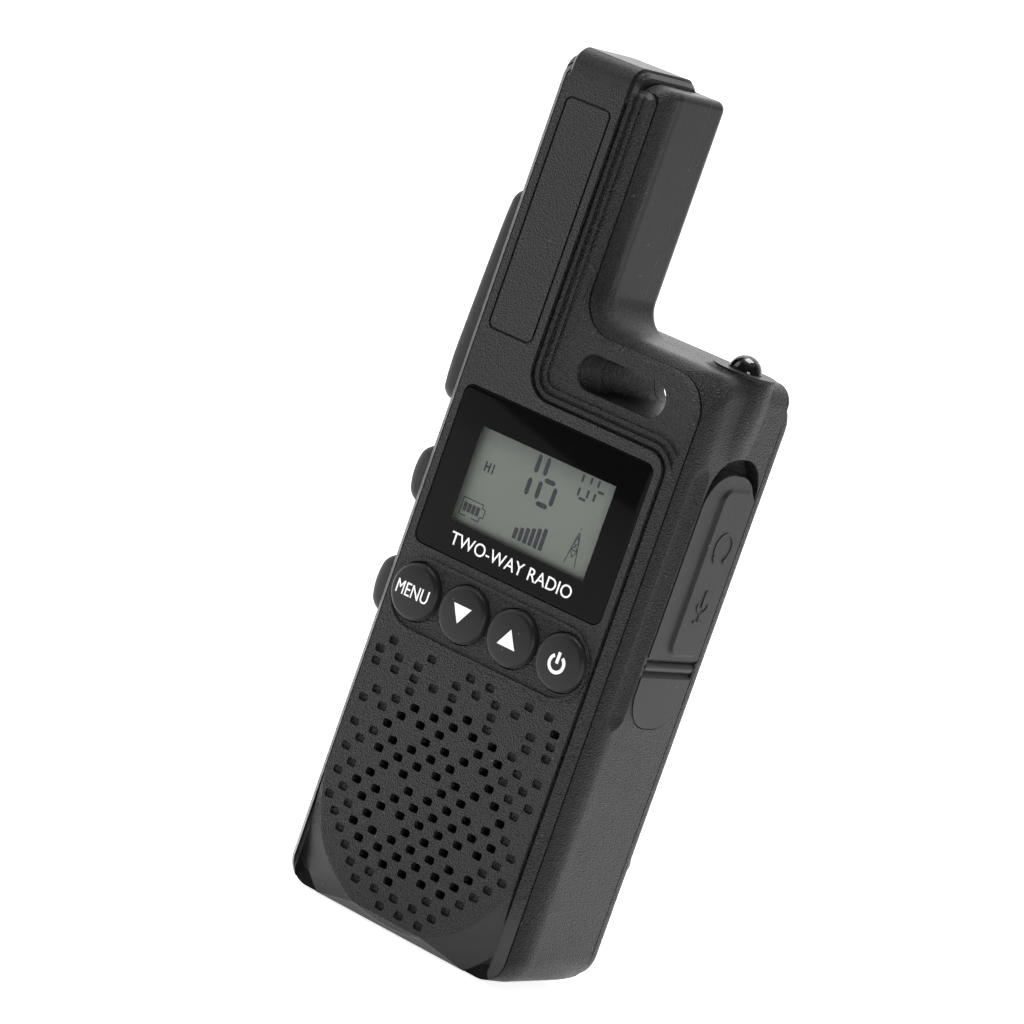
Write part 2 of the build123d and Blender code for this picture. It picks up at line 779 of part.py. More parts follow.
# ---- display
with BuildPart() as display_window:
    with BuildSketch(at_y(front_y + window_sink)):
        with Locations((0, window_middle)):
            RectangleRounded(window_width, window_height, window_corner)
    extrude(amount=-window_thickness)
display_window.part.label = "display_window"

module_y = front_y + window_sink + window_thickness + 2 * window_gap
with BuildPart() as lcd_module:
    with BuildSketch(at_y(module_y)):
        with Locations((0, window_middle)):
            RectangleRounded(view_width - 2 * view_gap, view_height - 2 * view_gap, window_corner - view_gap)
    extrude(amount=-(inner_y - module_y + module_thickness))
    with BuildSketch(at_y(inner_y + seam)):
        with Locations((0, window_middle)):
            Rectangle(module_width, module_height)
    extrude(amount=-(module_thickness - seam))
lcd_module.part.label = "lcd_module"

with BuildPart() as lcd_backlight:
    with BuildSketch(at_y(inner_y + module_thickness + snug_gap)):
        with Locations((0, window_middle)):
            Rectangle(module_width - 2 * backlight_step, module_height - 2 * backlight_step)
    extrude(amount=-backlight_thickness)
lcd_backlight.part.label = "lcd_backlight"

# ---- circuit board and what stands on it
with BuildPart() as main_board:
    extrude(
        body_outline(
            board_y, cavity_half - board_side, board_top, wall + board_side, board_top_corner,
            board_foot_corner,
        ),
        amount=-board_thickness,
    )
    with BuildSketch(at_y(board_y)):
        with Locations((0, speaker_height)):
            Circle(speaker_radius + board_gap)
        with Locations((0, speaker_height / 2)):
            Rectangle(2 * (speaker_radius + board_gap), speaker_height)
    extrude(amount=-board_thickness, mode=Mode.SUBTRACT)
main_board.part.label = "main_board"

with BuildPart() as rf_shield:
    with BuildSketch(at_y(board_back)):
        with Locations((0, window_middle)):
            RectangleRounded(shield_width, shield_height, shield_corner)
    extrude(amount=-shield_depth)
    with BuildSketch(at_y(board_back)):
        with Locations((0, window_middle)):
            RectangleRounded(
                shield_width - 2 * shield_wall, shield_height - 2 * shield_wall, shield_corner - shield_wall,
            )
    extrude(amount=-(shield_depth - shield_wall), mode=Mode.SUBTRACT)
rf_shield.part.label = "rf_shield"

key_top = inner_y + flange_gap + button_flange_thickness + button_travel + plunger_gap
with BuildPart() as keypad_switches:
    with BuildSketch(at_y(board_y)):
        with Locations([(x, button_height) for x in button_xs]):
            RectangleRounded(switch_size, switch_size, switch_corner)
    extrude(amount=board_y - key_top - plunger_rise)
    with BuildSketch(at_y(board_y)):
        with Locations([(x, button_height) for x in button_xs]):
            Circle(plunger_radius)
    extrude(amount=board_y - key_top)
keypad_switches.part.label = "keypad_switches"

with BuildPart() as speaker_cloth:
    with BuildSketch(at_y(inner_y + seam)):
        with Locations((0, speaker_height)):
            Circle(speaker_radius)
    extrude(amount=-cloth_thickness)
speaker_cloth.part.label = "speaker_cloth"

speaker_y = inner_y + 2 * seam + cloth_thickness
speaker_plane = Plane(origin=(0, speaker_y, speaker_height), x_dir=(1, 0, 0), z_dir=(0, 1, 0))
with BuildPart() as speaker_frame:
    with BuildSketch(speaker_plane):
        Circle(speaker_radius)
    extrude(amount=speaker_depth)
    with BuildSketch(speaker_plane):
        Circle(speaker_radius - frame_rim)
    with BuildSketch(speaker_plane.offset(speaker_depth - frame_floor)):
        Circle(magnet_radius - magnet_overlap)
    loft(mode=Mode.SUBTRACT)
speaker_frame.part.label = "speaker_frame"

with BuildPart() as speaker_cone:
    for inset, mode in ((0, Mode.ADD), (cone_wall, Mode.SUBTRACT)):
        with BuildSketch(speaker_plane.offset(cone_lift)):
            Circle(speaker_radius - cone_margin - inset)
        with BuildSketch(speaker_plane.offset(speaker_depth - cone_back - inset)):
            Circle(magnet_radius - cone_throat - inset)
        loft(mode=mode)
speaker_cone.part.label = "speaker_cone"

with BuildPart() as speaker_magnet:
    with BuildSketch(speaker_plane.offset(speaker_depth + fit)):
        Circle(magnet_radius)
    extrude(amount=magnet_depth)
    chamfer(speaker_magnet.faces().sort_by(Axis.Y)[-1].edges(), magnet_edge)
speaker_magnet.part.label = "speaker_magnet"

with BuildPart() as microphone:
    with BuildSketch(at_y(inner_y + seam)):
        with Locations((microphone_x, row_top - row_pitch)):
            Circle(capsule_radius)
    extrude(amount=-capsule_length)
microphone.part.label = "microphone"

# ---- aerial: a wound coil on a plastic former
with BuildPart() as antenna_former:
    with BuildSketch(Plane.XY.offset(coil_foot - former_end)):
        with Locations((antenna_x, antenna_y)):
            Circle(coil_radius - coil_wire - pin_gap)
    extrude(amount=coil_pitch * coil_turns + 2 * former_end)
    with BuildSketch(Plane.XY.offset(coil_foot - former_flange_drop)):
        with Locations((antenna_x, antenna_y)):
            Circle(coil_radius + former_flange)
    extrude(amount=former_flange_thickness)
antenna_former.part.label = "antenna_former"

coil_axis = Plane(origin=(antenna_x, antenna_y, coil_foot))
with BuildPart() as antenna_coil:
    with BuildLine(coil_axis):
        Helix(pitch=coil_pitch, height=coil_pitch * coil_turns, radius=coil_radius)
    wire_end = (antenna_x + coil_radius, antenna_y, coil_foot)
    coil_start = Plane(origin=wire_end, x_dir=(1, 0, 0), z_dir=(0, 1, 0))
    with BuildSketch(coil_start):
        Circle(coil_wire)
    sweep(is_frenet=True)
antenna_coil.part.label = "antenna_coil"

# ---- light: a clear round lens in the boss on the shoulder, over its lamp
with BuildPart() as light_lens:
    with BuildSketch(Plane.XZ.offset(-light_y)) as lens_half:
        with BuildLine():
            Polyline(
                (light_x, light_base), (light_x + light_radius, light_base),
                (light_x + light_radius, light_top),
            )
            CenterArc((light_x, light_top), light_radius, 0, 90)
            Line((light_x, light_top + light_radius), (light_x, light_base))
        make_face()
    revolve(axis=Axis((light_x, light_y, 0), (0, 0, 1)))
light_lens.part.label = "light_lens"

with BuildPart() as lamp_board:
    with BuildSketch(Plane.XY.offset(light_base - lamp_seat)):
        with Locations((light_x, light_y)):
            Circle(light_radius)
    extrude(amount=lamp_seat - pin_gap)
lamp_board.part.label = "lamp_board"

# ---- battery
with BuildPart() as battery_pack:
    with BuildSketch(at_y(partition_y + partition + battery_gap / 2)):
        with Locations((0, battery_bottom + battery_height / 2)):
            RectangleRounded(battery_width, battery_height, battery_corner)
    extrude(amount=-battery_thickness)
    fillet(battery_pack.faces().sort_by(Axis.Y)[-1].edges(), battery_edge)
battery_pack.part.label = "battery_pack"

with BuildPart() as battery_contacts:
    with BuildSketch(at_y(partition_y + partition + beyond)):
        with Locations([(x, battery_bottom - contact_room / 2) for x in (-contact_x, contact_x)]):
            Rectangle(contact_width, contact_room - pin_gap)
            with Locations((0, contact_leaf)):
                Rectangle(contact_width - 2 * contact_leaf, contact_room - pin_gap, mode=Mode.SUBTRACT)
    extrude(amount=-contact_depth)
battery_contacts.part.label = "battery_contacts"

# ---- sockets behind the jack cover
sockets = {}
for name, (height, radius) in jacks.items():
    with BuildPart() as socket:
        with BuildSketch(at_x(recess_x)):
            with Locations((jack_y, height)):
                Circle(radius + nose_wall)
        extrude(amount=-(nose_length + inner_gap))
        with BuildSketch(at_x(recess_x - nose_length - snug_gap)):
            with Locations((jack_y, height)):
                RectangleRounded(socket_size, socket_size, socket_corner)
        extrude(amount=-(jack_length - nose_length))
        with BuildSketch(at_x(recess_x)):
            with Locations((jack_y, height)):
                Circle(radius)
        extrude(amount=-(jack_length - socket_floor), mode=Mode.SUBTRACT)
    socket.part.label = name
    sockets[name] = socket

# ---- jack cover: its tail is held in the recess, and its flap turns on the tail's bar
hinge_half = (cover_width - 2 * hinge_end_gap) / 2
with BuildPart() as jack_cover_tail:
    extrude(cover_sketch(recess_x + fit), amount=recess_depth + cover_rise - fit)
    with BuildSketch(at_x(recess_x - beyond)):
        with Locations((cover_y, hinge_height - hinge_bar)):
            Rectangle(cover_width + beyond, cover_top - cover_bottom, align=(Align.CENTER, Align.MIN))
    extrude(amount=recess_depth + 3 * beyond, mode=Mode.SUBTRACT)
    tail_top = jack_cover_tail.edges().filter_by(Axis.Y).group_by(Axis.Z)[-1]
    chamfer(tail_top.sort_by(Axis.X)[-1], hinge_bar)
    with BuildSketch(at_x(recess_x + fit)):
        with Locations((cover_y, hinge_height - hinge_bar / 2 - hinge_shelf)):
            Rectangle(2 * hinge_half, hinge_bar + 2 * hinge_shelf)
    extrude(amount=hinge_x - recess_x)
    with BuildSketch(at_y(cover_y - hinge_half)):
        with Locations((hinge_x, hinge_height)):
            Circle(hinge_bar)
    extrude(amount=-2 * hinge_half)
jack_cover_tail.part.label = "jack_cover_tail"

flap_foot = hinge_height + hinge_bar + hinge_gap
facet_y = cover_y + (facet_margin - facet_rear) / 2
facet_low = hinge_height + hinge_bar + facet_foot
facet_high = cover_top - facet_head
with BuildPart() as jack_cover_flap:
    extrude(cover_sketch(recess_x + cover_gap), amount=recess_depth + cover_rise - cover_gap)
    with BuildSketch(at_x(recess_x - beyond)):
        with Locations((cover_y, flap_foot)):
            Rectangle(cover_width + beyond, cover_top - cover_bottom, align=(Align.CENTER, Align.MAX))
    extrude(amount=recess_depth + 3 * beyond, mode=Mode.SUBTRACT)
    flap_low = jack_cover_flap.edges().filter_by(Axis.Y).group_by(Axis.Z)[0]
    chamfer(flap_low.sort_by(Axis.X)[-1], flap_chamfer)
    # raised face, with a sloped border towards the front
    with BuildSketch(at_x(half_width + cover_rise)):
        with Locations((facet_y, (facet_low + facet_high) / 2)):
            RectangleRounded(cover_width - facet_margin - facet_rear, facet_high - facet_low, facet_corner)
    extrude(amount=facet_rise, taper=facet_taper)
    # plugs that fill the sockets
    for height, radius in jacks.values():
        with BuildSketch(at_x(recess_x + 2 * cover_gap)):
            with Locations((jack_y, height)):
                Circle(radius - plug_gap)
        extrude(amount=-(plug_length + 2 * cover_gap))
jack_cover_flap.part.label = "jack_cover_flap"

# ---- side keys: arched outside, with a flange that keeps each in its hole
keys = {}
for name, (length, height) in side_keys.items():
    half = length / 2
    outside = -half_width - key_rise
    flank = min(half * key_flank_part, key_flank)
    with BuildPart() as key:
        with BuildSketch(at_y(key_y - key_width / 2)):
            with BuildLine():
                FilletPolyline(
                    (-key_back, height - half), (-key_back, height + half), (-half_width, height + half),
                    (outside + key_top_drop, height + half - flank),
                    (outside, height - half + flank * key_low_part),
                    (-half_width, height - half),
                    radius=[0, 0, key_gap, flank, flank / 3, key_gap], close=True,
                )
            make_face()
        extrude(amount=-key_width)
        extrude(key_sketch(-key_back, length, height), amount=-wall - 2 * key_rise, mode=Mode.INTERSECT)
        with BuildSketch(at_x(-cavity_half + key_flange_gap)):
            with Locations((key_y + (key_flange_front + key_flange_rim) / 2, height)):
                RectangleRounded(
                    key_width - key_flange_front + key_flange_rim, length + 2 * key_flange_rim,
                    key_flange_corner,
                )
        extrude(amount=key_flange)
    key.part.label = name
    keys[name] = key

switch_x = -cavity_half + key_flange_gap + key_flange + key_travel + plunger_gap
with BuildPart() as side_key_switches:
    for name, (length, height) in side_keys.items():
        switch_height = height - (ptt_switch_drop if name == "ptt_key" else 0)
        with BuildSketch(at_x(switch_x + side_plunger)):
            with Locations((switch_y, switch_height)):
                RectangleRounded(switch_size, switch_size, switch_corner)
        extrude(amount=side_switch_depth)
        with BuildSketch(at_x(switch_x)):
            with Locations((switch_y, switch_height)):
                Circle(plunger_radius)
        extrude(amount=side_plunger + pin_gap)
side_key_switches.part.label = "side_key_switches"

# ---- front buttons: domed, with two tabs behind the cover that keep each in its hole
buttons = {}
for name, x in zip(button_names, button_xs):
    with BuildPart() as button:
        with BuildSketch(at_y(front_y - button_rise)):
            with Locations((x, button_height)):
                Circle(button_radius)
        extrude(amount=-(inner_y + flange_gap + button_flange_thickness - front_y + button_rise))
        fillet(button.faces().sort_by(Axis.Y)[0].edges(), button_edge)
        with BuildSketch(at_y(inner_y + flange_gap)):
            with Locations((x, button_height)):
                RectangleRounded(button_flange_width, 2 * (button_radius + button_tab), button_flange_corner)
        extrude(amount=-button_flange_thickness)
    button.part.label = name
    buttons[name] = button

# ---- screws, in from the back
with BuildPart() as housing_screws:
    with BuildSketch(at_y(back_y - screw_sink)):
        with Locations(screw_places):
            Circle(screw_head)
    extrude(amount=screw_head_depth)
    with BuildSketch(at_y(back_y - screw_sink)):
        with Locations(screw_places):
            Circle(screw_radius)
    extrude(amount=screw_length)
    with BuildSketch(at_y(back_y - screw_sink)):
        with Locations(screw_places):
            Rectangle(screw_cross[0], screw_cross[1])
            Rectangle(screw_cross[1], screw_cross[0])
    extrude(amount=screw_cross[0], mode=Mode.SUBTRACT)
housing_screws.part.label = "housing_screws"

pieces = [
    front_cover, middle_housing, back_cover, battery_door, display_window, lcd_module, lcd_backlight,
    main_board, rf_shield, keypad_switches, speaker_cloth, speaker_frame, speaker_cone, speaker_magnet,
    microphone,
    antenna_former, antenna_coil, light_lens, lamp_board, battery_pack, battery_contacts,
    jack_cover_tail, jack_cover_flap, side_key_switches, housing_screws,
    *sockets.values(), *keys.values(), *buttons.values(),
]
os.makedirs("parts", exist_ok=True)
for piece in pieces:
    export_step(piece.part, "parts/" + piece.part.label + ".step")
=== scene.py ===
import json
import math

import bmesh
import bpy
from mathutils import Matrix, Vector


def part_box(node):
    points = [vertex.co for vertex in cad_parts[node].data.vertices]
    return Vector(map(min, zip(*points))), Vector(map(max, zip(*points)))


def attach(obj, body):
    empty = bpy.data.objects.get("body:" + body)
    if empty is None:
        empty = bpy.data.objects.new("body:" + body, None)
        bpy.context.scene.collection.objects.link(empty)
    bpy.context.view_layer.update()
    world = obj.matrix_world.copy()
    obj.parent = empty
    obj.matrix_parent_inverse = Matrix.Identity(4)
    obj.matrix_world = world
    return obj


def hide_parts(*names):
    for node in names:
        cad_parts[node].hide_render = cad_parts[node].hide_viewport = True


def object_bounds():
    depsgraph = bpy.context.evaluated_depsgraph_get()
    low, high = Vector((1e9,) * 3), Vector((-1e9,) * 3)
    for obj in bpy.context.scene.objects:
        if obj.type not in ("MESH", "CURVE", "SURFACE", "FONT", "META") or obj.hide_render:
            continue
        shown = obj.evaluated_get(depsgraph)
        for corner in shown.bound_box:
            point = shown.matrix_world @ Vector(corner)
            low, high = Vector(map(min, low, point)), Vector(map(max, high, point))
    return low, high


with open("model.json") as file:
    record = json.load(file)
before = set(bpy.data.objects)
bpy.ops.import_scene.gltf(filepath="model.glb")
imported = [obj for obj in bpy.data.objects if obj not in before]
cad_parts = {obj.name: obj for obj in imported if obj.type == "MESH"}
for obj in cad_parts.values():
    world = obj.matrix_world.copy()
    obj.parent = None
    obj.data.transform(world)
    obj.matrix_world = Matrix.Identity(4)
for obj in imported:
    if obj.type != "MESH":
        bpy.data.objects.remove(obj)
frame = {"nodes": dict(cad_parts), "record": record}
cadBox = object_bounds()
nodes = frame["nodes"]
mm = 0.001
print("radio: frame loaded,", len(nodes), "nodes")


# camera: a long lens, rolled so that the radio leans to the right
camera = {
    "lens": 169.2,
    "place": (0.37469, -0.59130, 0.17386),
    "right": (0.76228, 0.55841, 0.32727),
    "up": (-0.35742, -0.05838, 0.93212),
}


def addCamera():
    right = Vector(camera["right"]).normalized()
    back = right.cross(Vector(camera["up"])).normalized()
    up = back.cross(right)
    lensData = bpy.data.cameras.new("camera")
    lensData.lens = camera["lens"]
    lensData.clip_start = 0.01
    lensData.clip_end = 100
    viewer = bpy.data.objects.new("camera", lensData)
    turn = Matrix((right, up, back)).transposed().to_4x4()
    viewer.matrix_world = Matrix.Translation(camera["place"]) @ turn
    bpy.context.scene.collection.objects.link(viewer)
    bpy.context.scene.camera = viewer


class Wire:
    # a socket that Python's own operators work on
    def __init__(self, graph, socket):
        self.graph = graph
        self.socket = socket

    def maths(self, operation, *values):
        return self.graph.add("ShaderNodeMath", {"operation": operation}, dict(enumerate(values)))

    def __add__(self, other):
        return self.maths("ADD", self, other)

    def __sub__(self, other):
        return self.maths("SUBTRACT", self, other)

    def __rsub__(self, other):
        return self.maths("SUBTRACT", other, self)

    def __mul__(self, other):
        return self.maths("MULTIPLY", self, other)

    def __pow__(self, other):
        return self.maths("POWER", self, other)

    def __abs__(self):
        return self.maths("ABSOLUTE", self)

    def below(self, edge, soft):
        # 1 where the value is under edge, falling to 0 over soft
        return self.graph.add(
            "ShaderNodeMapRange", {"interpolation_type": "SMOOTHSTEP"},
            {"Value": self, "From Min": edge - soft / 2, "From Max": edge + soft / 2,
             "To Min": 1.0, "To Max": 0.0},
        )

    def above(self, edge, soft):
        return 1 - self.below(edge, soft)

    __radd__ = __add__
    __rmul__ = __mul__


class Finish:
    # one material: its node tree, its shader and its object coordinates
    def __init__(self, name, **fixed):
        self.material = bpy.data.materials.new(name)
        self.material.use_nodes = True
        self.tree = self.material.node_tree
        self.shader = self.tree.nodes["Principled BSDF"]
        for socket, value in fixed.items():
            self.shader.inputs[socket.replace("_", " ")].default_value = value
        self.place = self.add("ShaderNodeTexCoord", {}, {}, "Object")
        parts = self.add("ShaderNodeSeparateXYZ", {}, {"Vector": self.place}, None)
        self.x, self.y, self.z = (Wire(self, parts.outputs[axis]) for axis in "XYZ")

    def add(self, kind, settings, sockets, out=0):
        node = self.tree.nodes.new(kind)
        for name, value in settings.items():
            setattr(node, name, value)
        for name, value in sockets.items():
            if isinstance(value, Wire):
                self.tree.links.new(value.socket, node.inputs[name])
            else:
                node.inputs[name].default_value = value
        return node if out is None else Wire(self, node.outputs[out])

    def noise(self, size, detail=2.0, rough=0.5):
        return self.add("ShaderNodeTexNoise", {}, {
            "Vector": self.place, "Scale": 1 / size, "Detail": detail, "Roughness": rough}, "Fac")

    def cells(self, size, feature="F1"):
        return self.add("ShaderNodeTexVoronoi", {"feature": feature}, {
            "Vector": self.place, "Scale": 1 / size}, "Distance")

    def stretched(self, scale):
        return self.add("ShaderNodeMapping", {}, {"Vector": self.place, "Scale": scale})

    def mix(self, factor, first, second):
        return self.add("ShaderNodeMix", {"data_type": "RGBA"}, {0: factor, 6: first, 7: second}, 2)

    def feed(self, **links):
        for socket, wire in links.items():
            self.tree.links.new(wire.socket, self.shader.inputs[socket.replace("_", " ")])

    def softEdges(self, radius):
        return self.add("ShaderNodeBevel", {"samples": 4}, {"Radius": radius})

    def bump(self, height, depth, strength=1.0, under=None):
        sockets = {"Height": height, "Distance": depth, "Strength": strength}
        if under:
            sockets["Normal"] = under
        return self.add("ShaderNodeBump", {}, sockets)


def grey(value):
    return (value, value, value, 1)


# moulded case: leather-like grain, smoother where the tool was polished
grain = {
    "cell": 0.24 * mm,
    "fine": 0.2 * mm,
    "depth": 0.36 * mm,
    "base": 0.006,
    "light": 0.011,
    "roughSmooth": 0.31,
    "roughGrain": 0.4,
    "softEdge": 0.14 * mm,
    "partingPlace": -10.45 * mm,
    "parting": 0.14 * mm,
    "partingShadePainted": 0.85,
    "seamPlace": 1.2 * mm,
    "seamFoot": 88 * mm,
    "dust": 0.16,
}


def casePlastic(name, grainAmount, specular):
    finish = Finish(name, Specular_IOR_Level=specular)
    amount = grainAmount(finish)
    warp = finish.noise(1.6 * mm, 2.0)
    leather = finish.cells(grain["cell"], feature="SMOOTH_F1")
    wrinkle = finish.noise(grain["fine"], 3.0, 0.6)
    dirt = finish.noise(9 * mm, 4.0, 0.6)
    speck = finish.cells(3.1 * mm).below(0.045, 0.02)
    skin = (leather * 0.9 + wrinkle * 0.45 + warp * 0.25) * amount
    seam = abs(finish.y - grain["seamPlace"]).below(0.05 * mm, 0.08 * mm)
    height = skin + wrinkle * 0.05 + seam * finish.z.above(grain["seamFoot"], 6 * mm) * 0.25
    colour = finish.mix(dirt, grey(grain["base"]), grey(grain["light"]))
    colour = finish.mix(speck * 0.35, colour, grey(grain["dust"]))
    rough = grain["roughSmooth"] + amount * (grain["roughGrain"] - grain["roughSmooth"])
    rough = rough + (dirt - 0.5) * 0.12
    soft = finish.softEdges(grain["softEdge"])
    # parting line: a real groove in the bump, plus a painted shade, black colour standing in for the
    # shadow in the gap between cover and housing
    parting = abs(finish.y - grain["partingPlace"]).below(grain["parting"], 0.04 * mm)
    parting = parting * grain["partingShadePainted"]
    finish.feed(Base_Color=finish.mix(parting, colour, grey(0.0)), Roughness=rough + parting * 0.5,
                Normal=finish.bump(height - parting * 2, grain["depth"], 1.0, soft))
    return finish.material


polished = {
    "chinCentre": 19.8 * mm,
    "chinRadius": 18.9 * mm,
    "chinTop": 12 * mm,
    "crownFoot": 127.6 * mm,
    "labelCentre": (-13.75 * mm, 106.8 * mm),
    "labelHalf": (4.2 * mm, 18 * mm),
    "antennaFoot": 97 * mm,
    "antennaFront": -7.6 * mm,
}


def coverGrain(finish):
    # full grain on the panel and its edge, none on the chin, little on the crown
    outward = (finish.x ** 2 + (finish.z - polished["chinCentre"]) ** 2) ** 0.5
    chin = outward.above(polished["chinRadius"], 0.5 * mm) * finish.z.below(polished["chinTop"], 10 * mm)
    crown = finish.z.above(polished["crownFoot"], 3 * mm)
    (x, z), (halfWidth, halfHeight) = polished["labelCentre"], polished["labelHalf"]
    label = abs(finish.x - x).below(halfWidth, 0.2 * mm) * abs(finish.z - z).below(halfHeight, 0.2 * mm)
    antenna = finish.z.above(82 * mm, 8 * mm)
    return (1 - chin * 0.97) * (1 - crown * 0.8) * (1 - label * 0.4) * (1 - antenna * 0.1)


def housingGrain(finish):
    # grain by the front seam and round the body, polished sides on the antenna
    antenna = (finish.z.above(polished["antennaFoot"], 8 * mm)
               * finish.y.above(polished["antennaFront"], 1.6 * mm))
    return (1 - antenna * 0.93) * (0.55 + finish.y.below(-6 * mm, 4 * mm) * 0.45)


def backGrain(finish):
    # light grain on the back's own face, almost none on its rim
    return finish.y.above(9 * mm, 0.5 * mm) * 0.5 + 0.2


def plainRubber(name, base, rough, specular):
    finish = Finish(name, Specular_IOR_Level=specular, Sheen_Weight=0.08, Sheen_Roughness=0.5)
    bloom = finish.noise(4 * mm, 4.0, 0.55)
    pores = finish.noise(0.12 * mm, 2.0)
    lint = finish.cells(2.3 * mm).below(0.05, 0.02)
    colour = finish.mix(bloom, grey(base * 0.75), grey(base * 1.25))
    colour = finish.mix(lint * 0.4, colour, grey(0.2))
    finish.feed(Base_Color=colour, Roughness=rough + (bloom - 0.5) * 0.14,
                Normal=finish.bump(pores + bloom * 0.4, 0.012 * mm))
    return finish.material


# part of the window left clear over the display
view = {"halfWidth": 12.55 * mm, "top": 75.15 * mm, "foot": 60.55 * mm, "soft": 0.12 * mm}


def windowPlastic():
    # polished sheet, printed black behind except over the display
    finish = Finish("window_sheet", Specular_IOR_Level=0.06, IOR=1.49)
    inside = (abs(finish.x).below(view["halfWidth"], view["soft"])
              * finish.z.below(view["top"], view["soft"])
              * finish.z.above(view["foot"], view["soft"]))
    front = finish.y.below(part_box("display_window")[0].y + 0.3 * mm, 0.1 * mm)
    inside = 1 - (1 - inside) * front
    smear = finish.noise(7 * mm, 5.0, 0.6)
    hair = finish.add("ShaderNodeTexNoise", {}, {
        "Vector": finish.stretched((1, 1, 9)), "Scale": 240.0, "Detail": 3.0}, "Fac")
    finish.feed(
        Base_Color=finish.mix(inside, grey(0.0022), grey(0.012)),
        Alpha=1 - inside * 0.94,
        Roughness=0.035 + smear * 0.05,
        Normal=finish.bump(hair, 0.002 * mm, 0.4),
    )
    return finish.material


def displayGlass():
    # reflective display: grey-green, with a painted shadow of the frame darkening its top and painted
    # shade at its sides
    finish = Finish("display_glass", Specular_IOR_Level=0.25)
    cloud = finish.noise(14 * mm, 3.0)
    cell = finish.cells(0.3 * mm)
    # painted shadow of the window frame across the top, painted shade at both sides
    paintedFrameShadow = finish.z.above(73.4 * mm, 4.5 * mm) * 0.55
    paintedSideShade = finish.x.below(-11 * mm, 3 * mm) * 0.12 + finish.x.above(11.6 * mm, 2 * mm) * 0.1
    colour = finish.mix(cloud, (0.125, 0.14, 0.122, 1), (0.155, 0.172, 0.149, 1))
    colour = finish.mix(paintedFrameShadow + paintedSideShade, colour, (0.07, 0.075, 0.08, 1))
    finish.feed(Base_Color=colour, Roughness=0.4 + cell * 0.1, Normal=finish.bump(cell, 0.004 * mm, 0.3))
    return finish.material


def inkFinish(name, colour, rough, wear):
    finish = Finish(name, Specular_IOR_Level=0.3)
    patchy = finish.noise(0.5 * mm, 4.0, 0.7)
    darker = tuple(c * (1 - wear) for c in colour[:3]) + (1,)
    finish.feed(Base_Color=finish.mix(patchy, darker, colour), Roughness=rough + patchy * 0.15,
                Normal=finish.bump(patchy, 0.006 * mm))
    return finish.material


def clearLens():
    finish = Finish("clear_lens", IOR=1.5, Transmission_Weight=1.0, Specular_IOR_Level=0.5)
    wave = finish.noise(2.5 * mm, 2.0)
    # dark grey tint on the clear dome: painted shade standing in for the dark seen through it
    finish.feed(Base_Color=finish.mix(wave, (0.07, 0.07, 0.075, 1), (0.1, 0.1, 0.105, 1)),
                Roughness=0.02 + wave * 0.03, Normal=finish.bump(wave, 0.02 * mm, 0.5))
    return finish.material


def metalFinish(name, colour, rough, streak):
    finish = Finish(name)
    brushed = finish.add("ShaderNodeTexNoise", {}, {
        "Vector": finish.stretched(streak), "Scale": 2500.0, "Detail": 3.0}, "Fac")
    stain = finish.noise(6 * mm, 4.0)
    dull = tuple(c * 0.7 for c in colour[:3]) + (1,)
    finish.shader.inputs["Metallic"].default_value = 1.0
    finish.feed(Base_Color=finish.mix(stain, dull, colour), Roughness=rough + (brushed - 0.5) * 0.2,
                Normal=finish.bump(brushed, 0.01 * mm))
    return finish.material


def boardFinish():
    finish = Finish("circuit_board", Specular_IOR_Level=0.5)
    track = finish.add("ShaderNodeTexBrick", {"offset": 0.37}, {
        "Vector": finish.stretched((900, 1, 700)), "Scale": 1.0, "Mortar Size": 0.08,
        "Color1": grey(0.0), "Color2": grey(0.2), "Mortar": grey(1.0)}, "Fac")
    weave = finish.noise(0.4 * mm, 2.0)
    colour = finish.mix(track, (0.010, 0.085, 0.03, 1), (0.03, 0.16, 0.06, 1))
    finish.feed(Base_Color=colour, Roughness=0.32 + weave * 0.1,
                Normal=finish.bump(track + weave * 0.2, 0.02 * mm))
    return finish.material


def clothFinish():
    finish = Finish("dust_cloth", Specular_IOR_Level=0.1)
    warp = abs(finish.x.maths("SINE", finish.x * 9000))
    weft = abs(finish.z.maths("SINE", finish.z * 9000))
    finish.feed(Base_Color=finish.mix(warp * weft, grey(0.001), grey(0.006)),
                Roughness=0.9 - warp * 0.1, Normal=finish.bump(warp + weft, 0.04 * mm))
    return finish.material


def plainMoulding(name, colour, rough, size):
    finish = Finish(name, Specular_IOR_Level=0.35)
    blotch = finish.noise(size, 4.0)
    fine = finish.noise(0.2 * mm, 2.0)
    darker = tuple(c * 0.72 for c in colour[:3]) + (1,)
    finish.feed(Base_Color=finish.mix(blotch, darker, colour), Roughness=rough + (fine - 0.5) * 0.15,
                Normal=finish.bump(fine + blotch * 0.4, 0.02 * mm))
    return finish.material


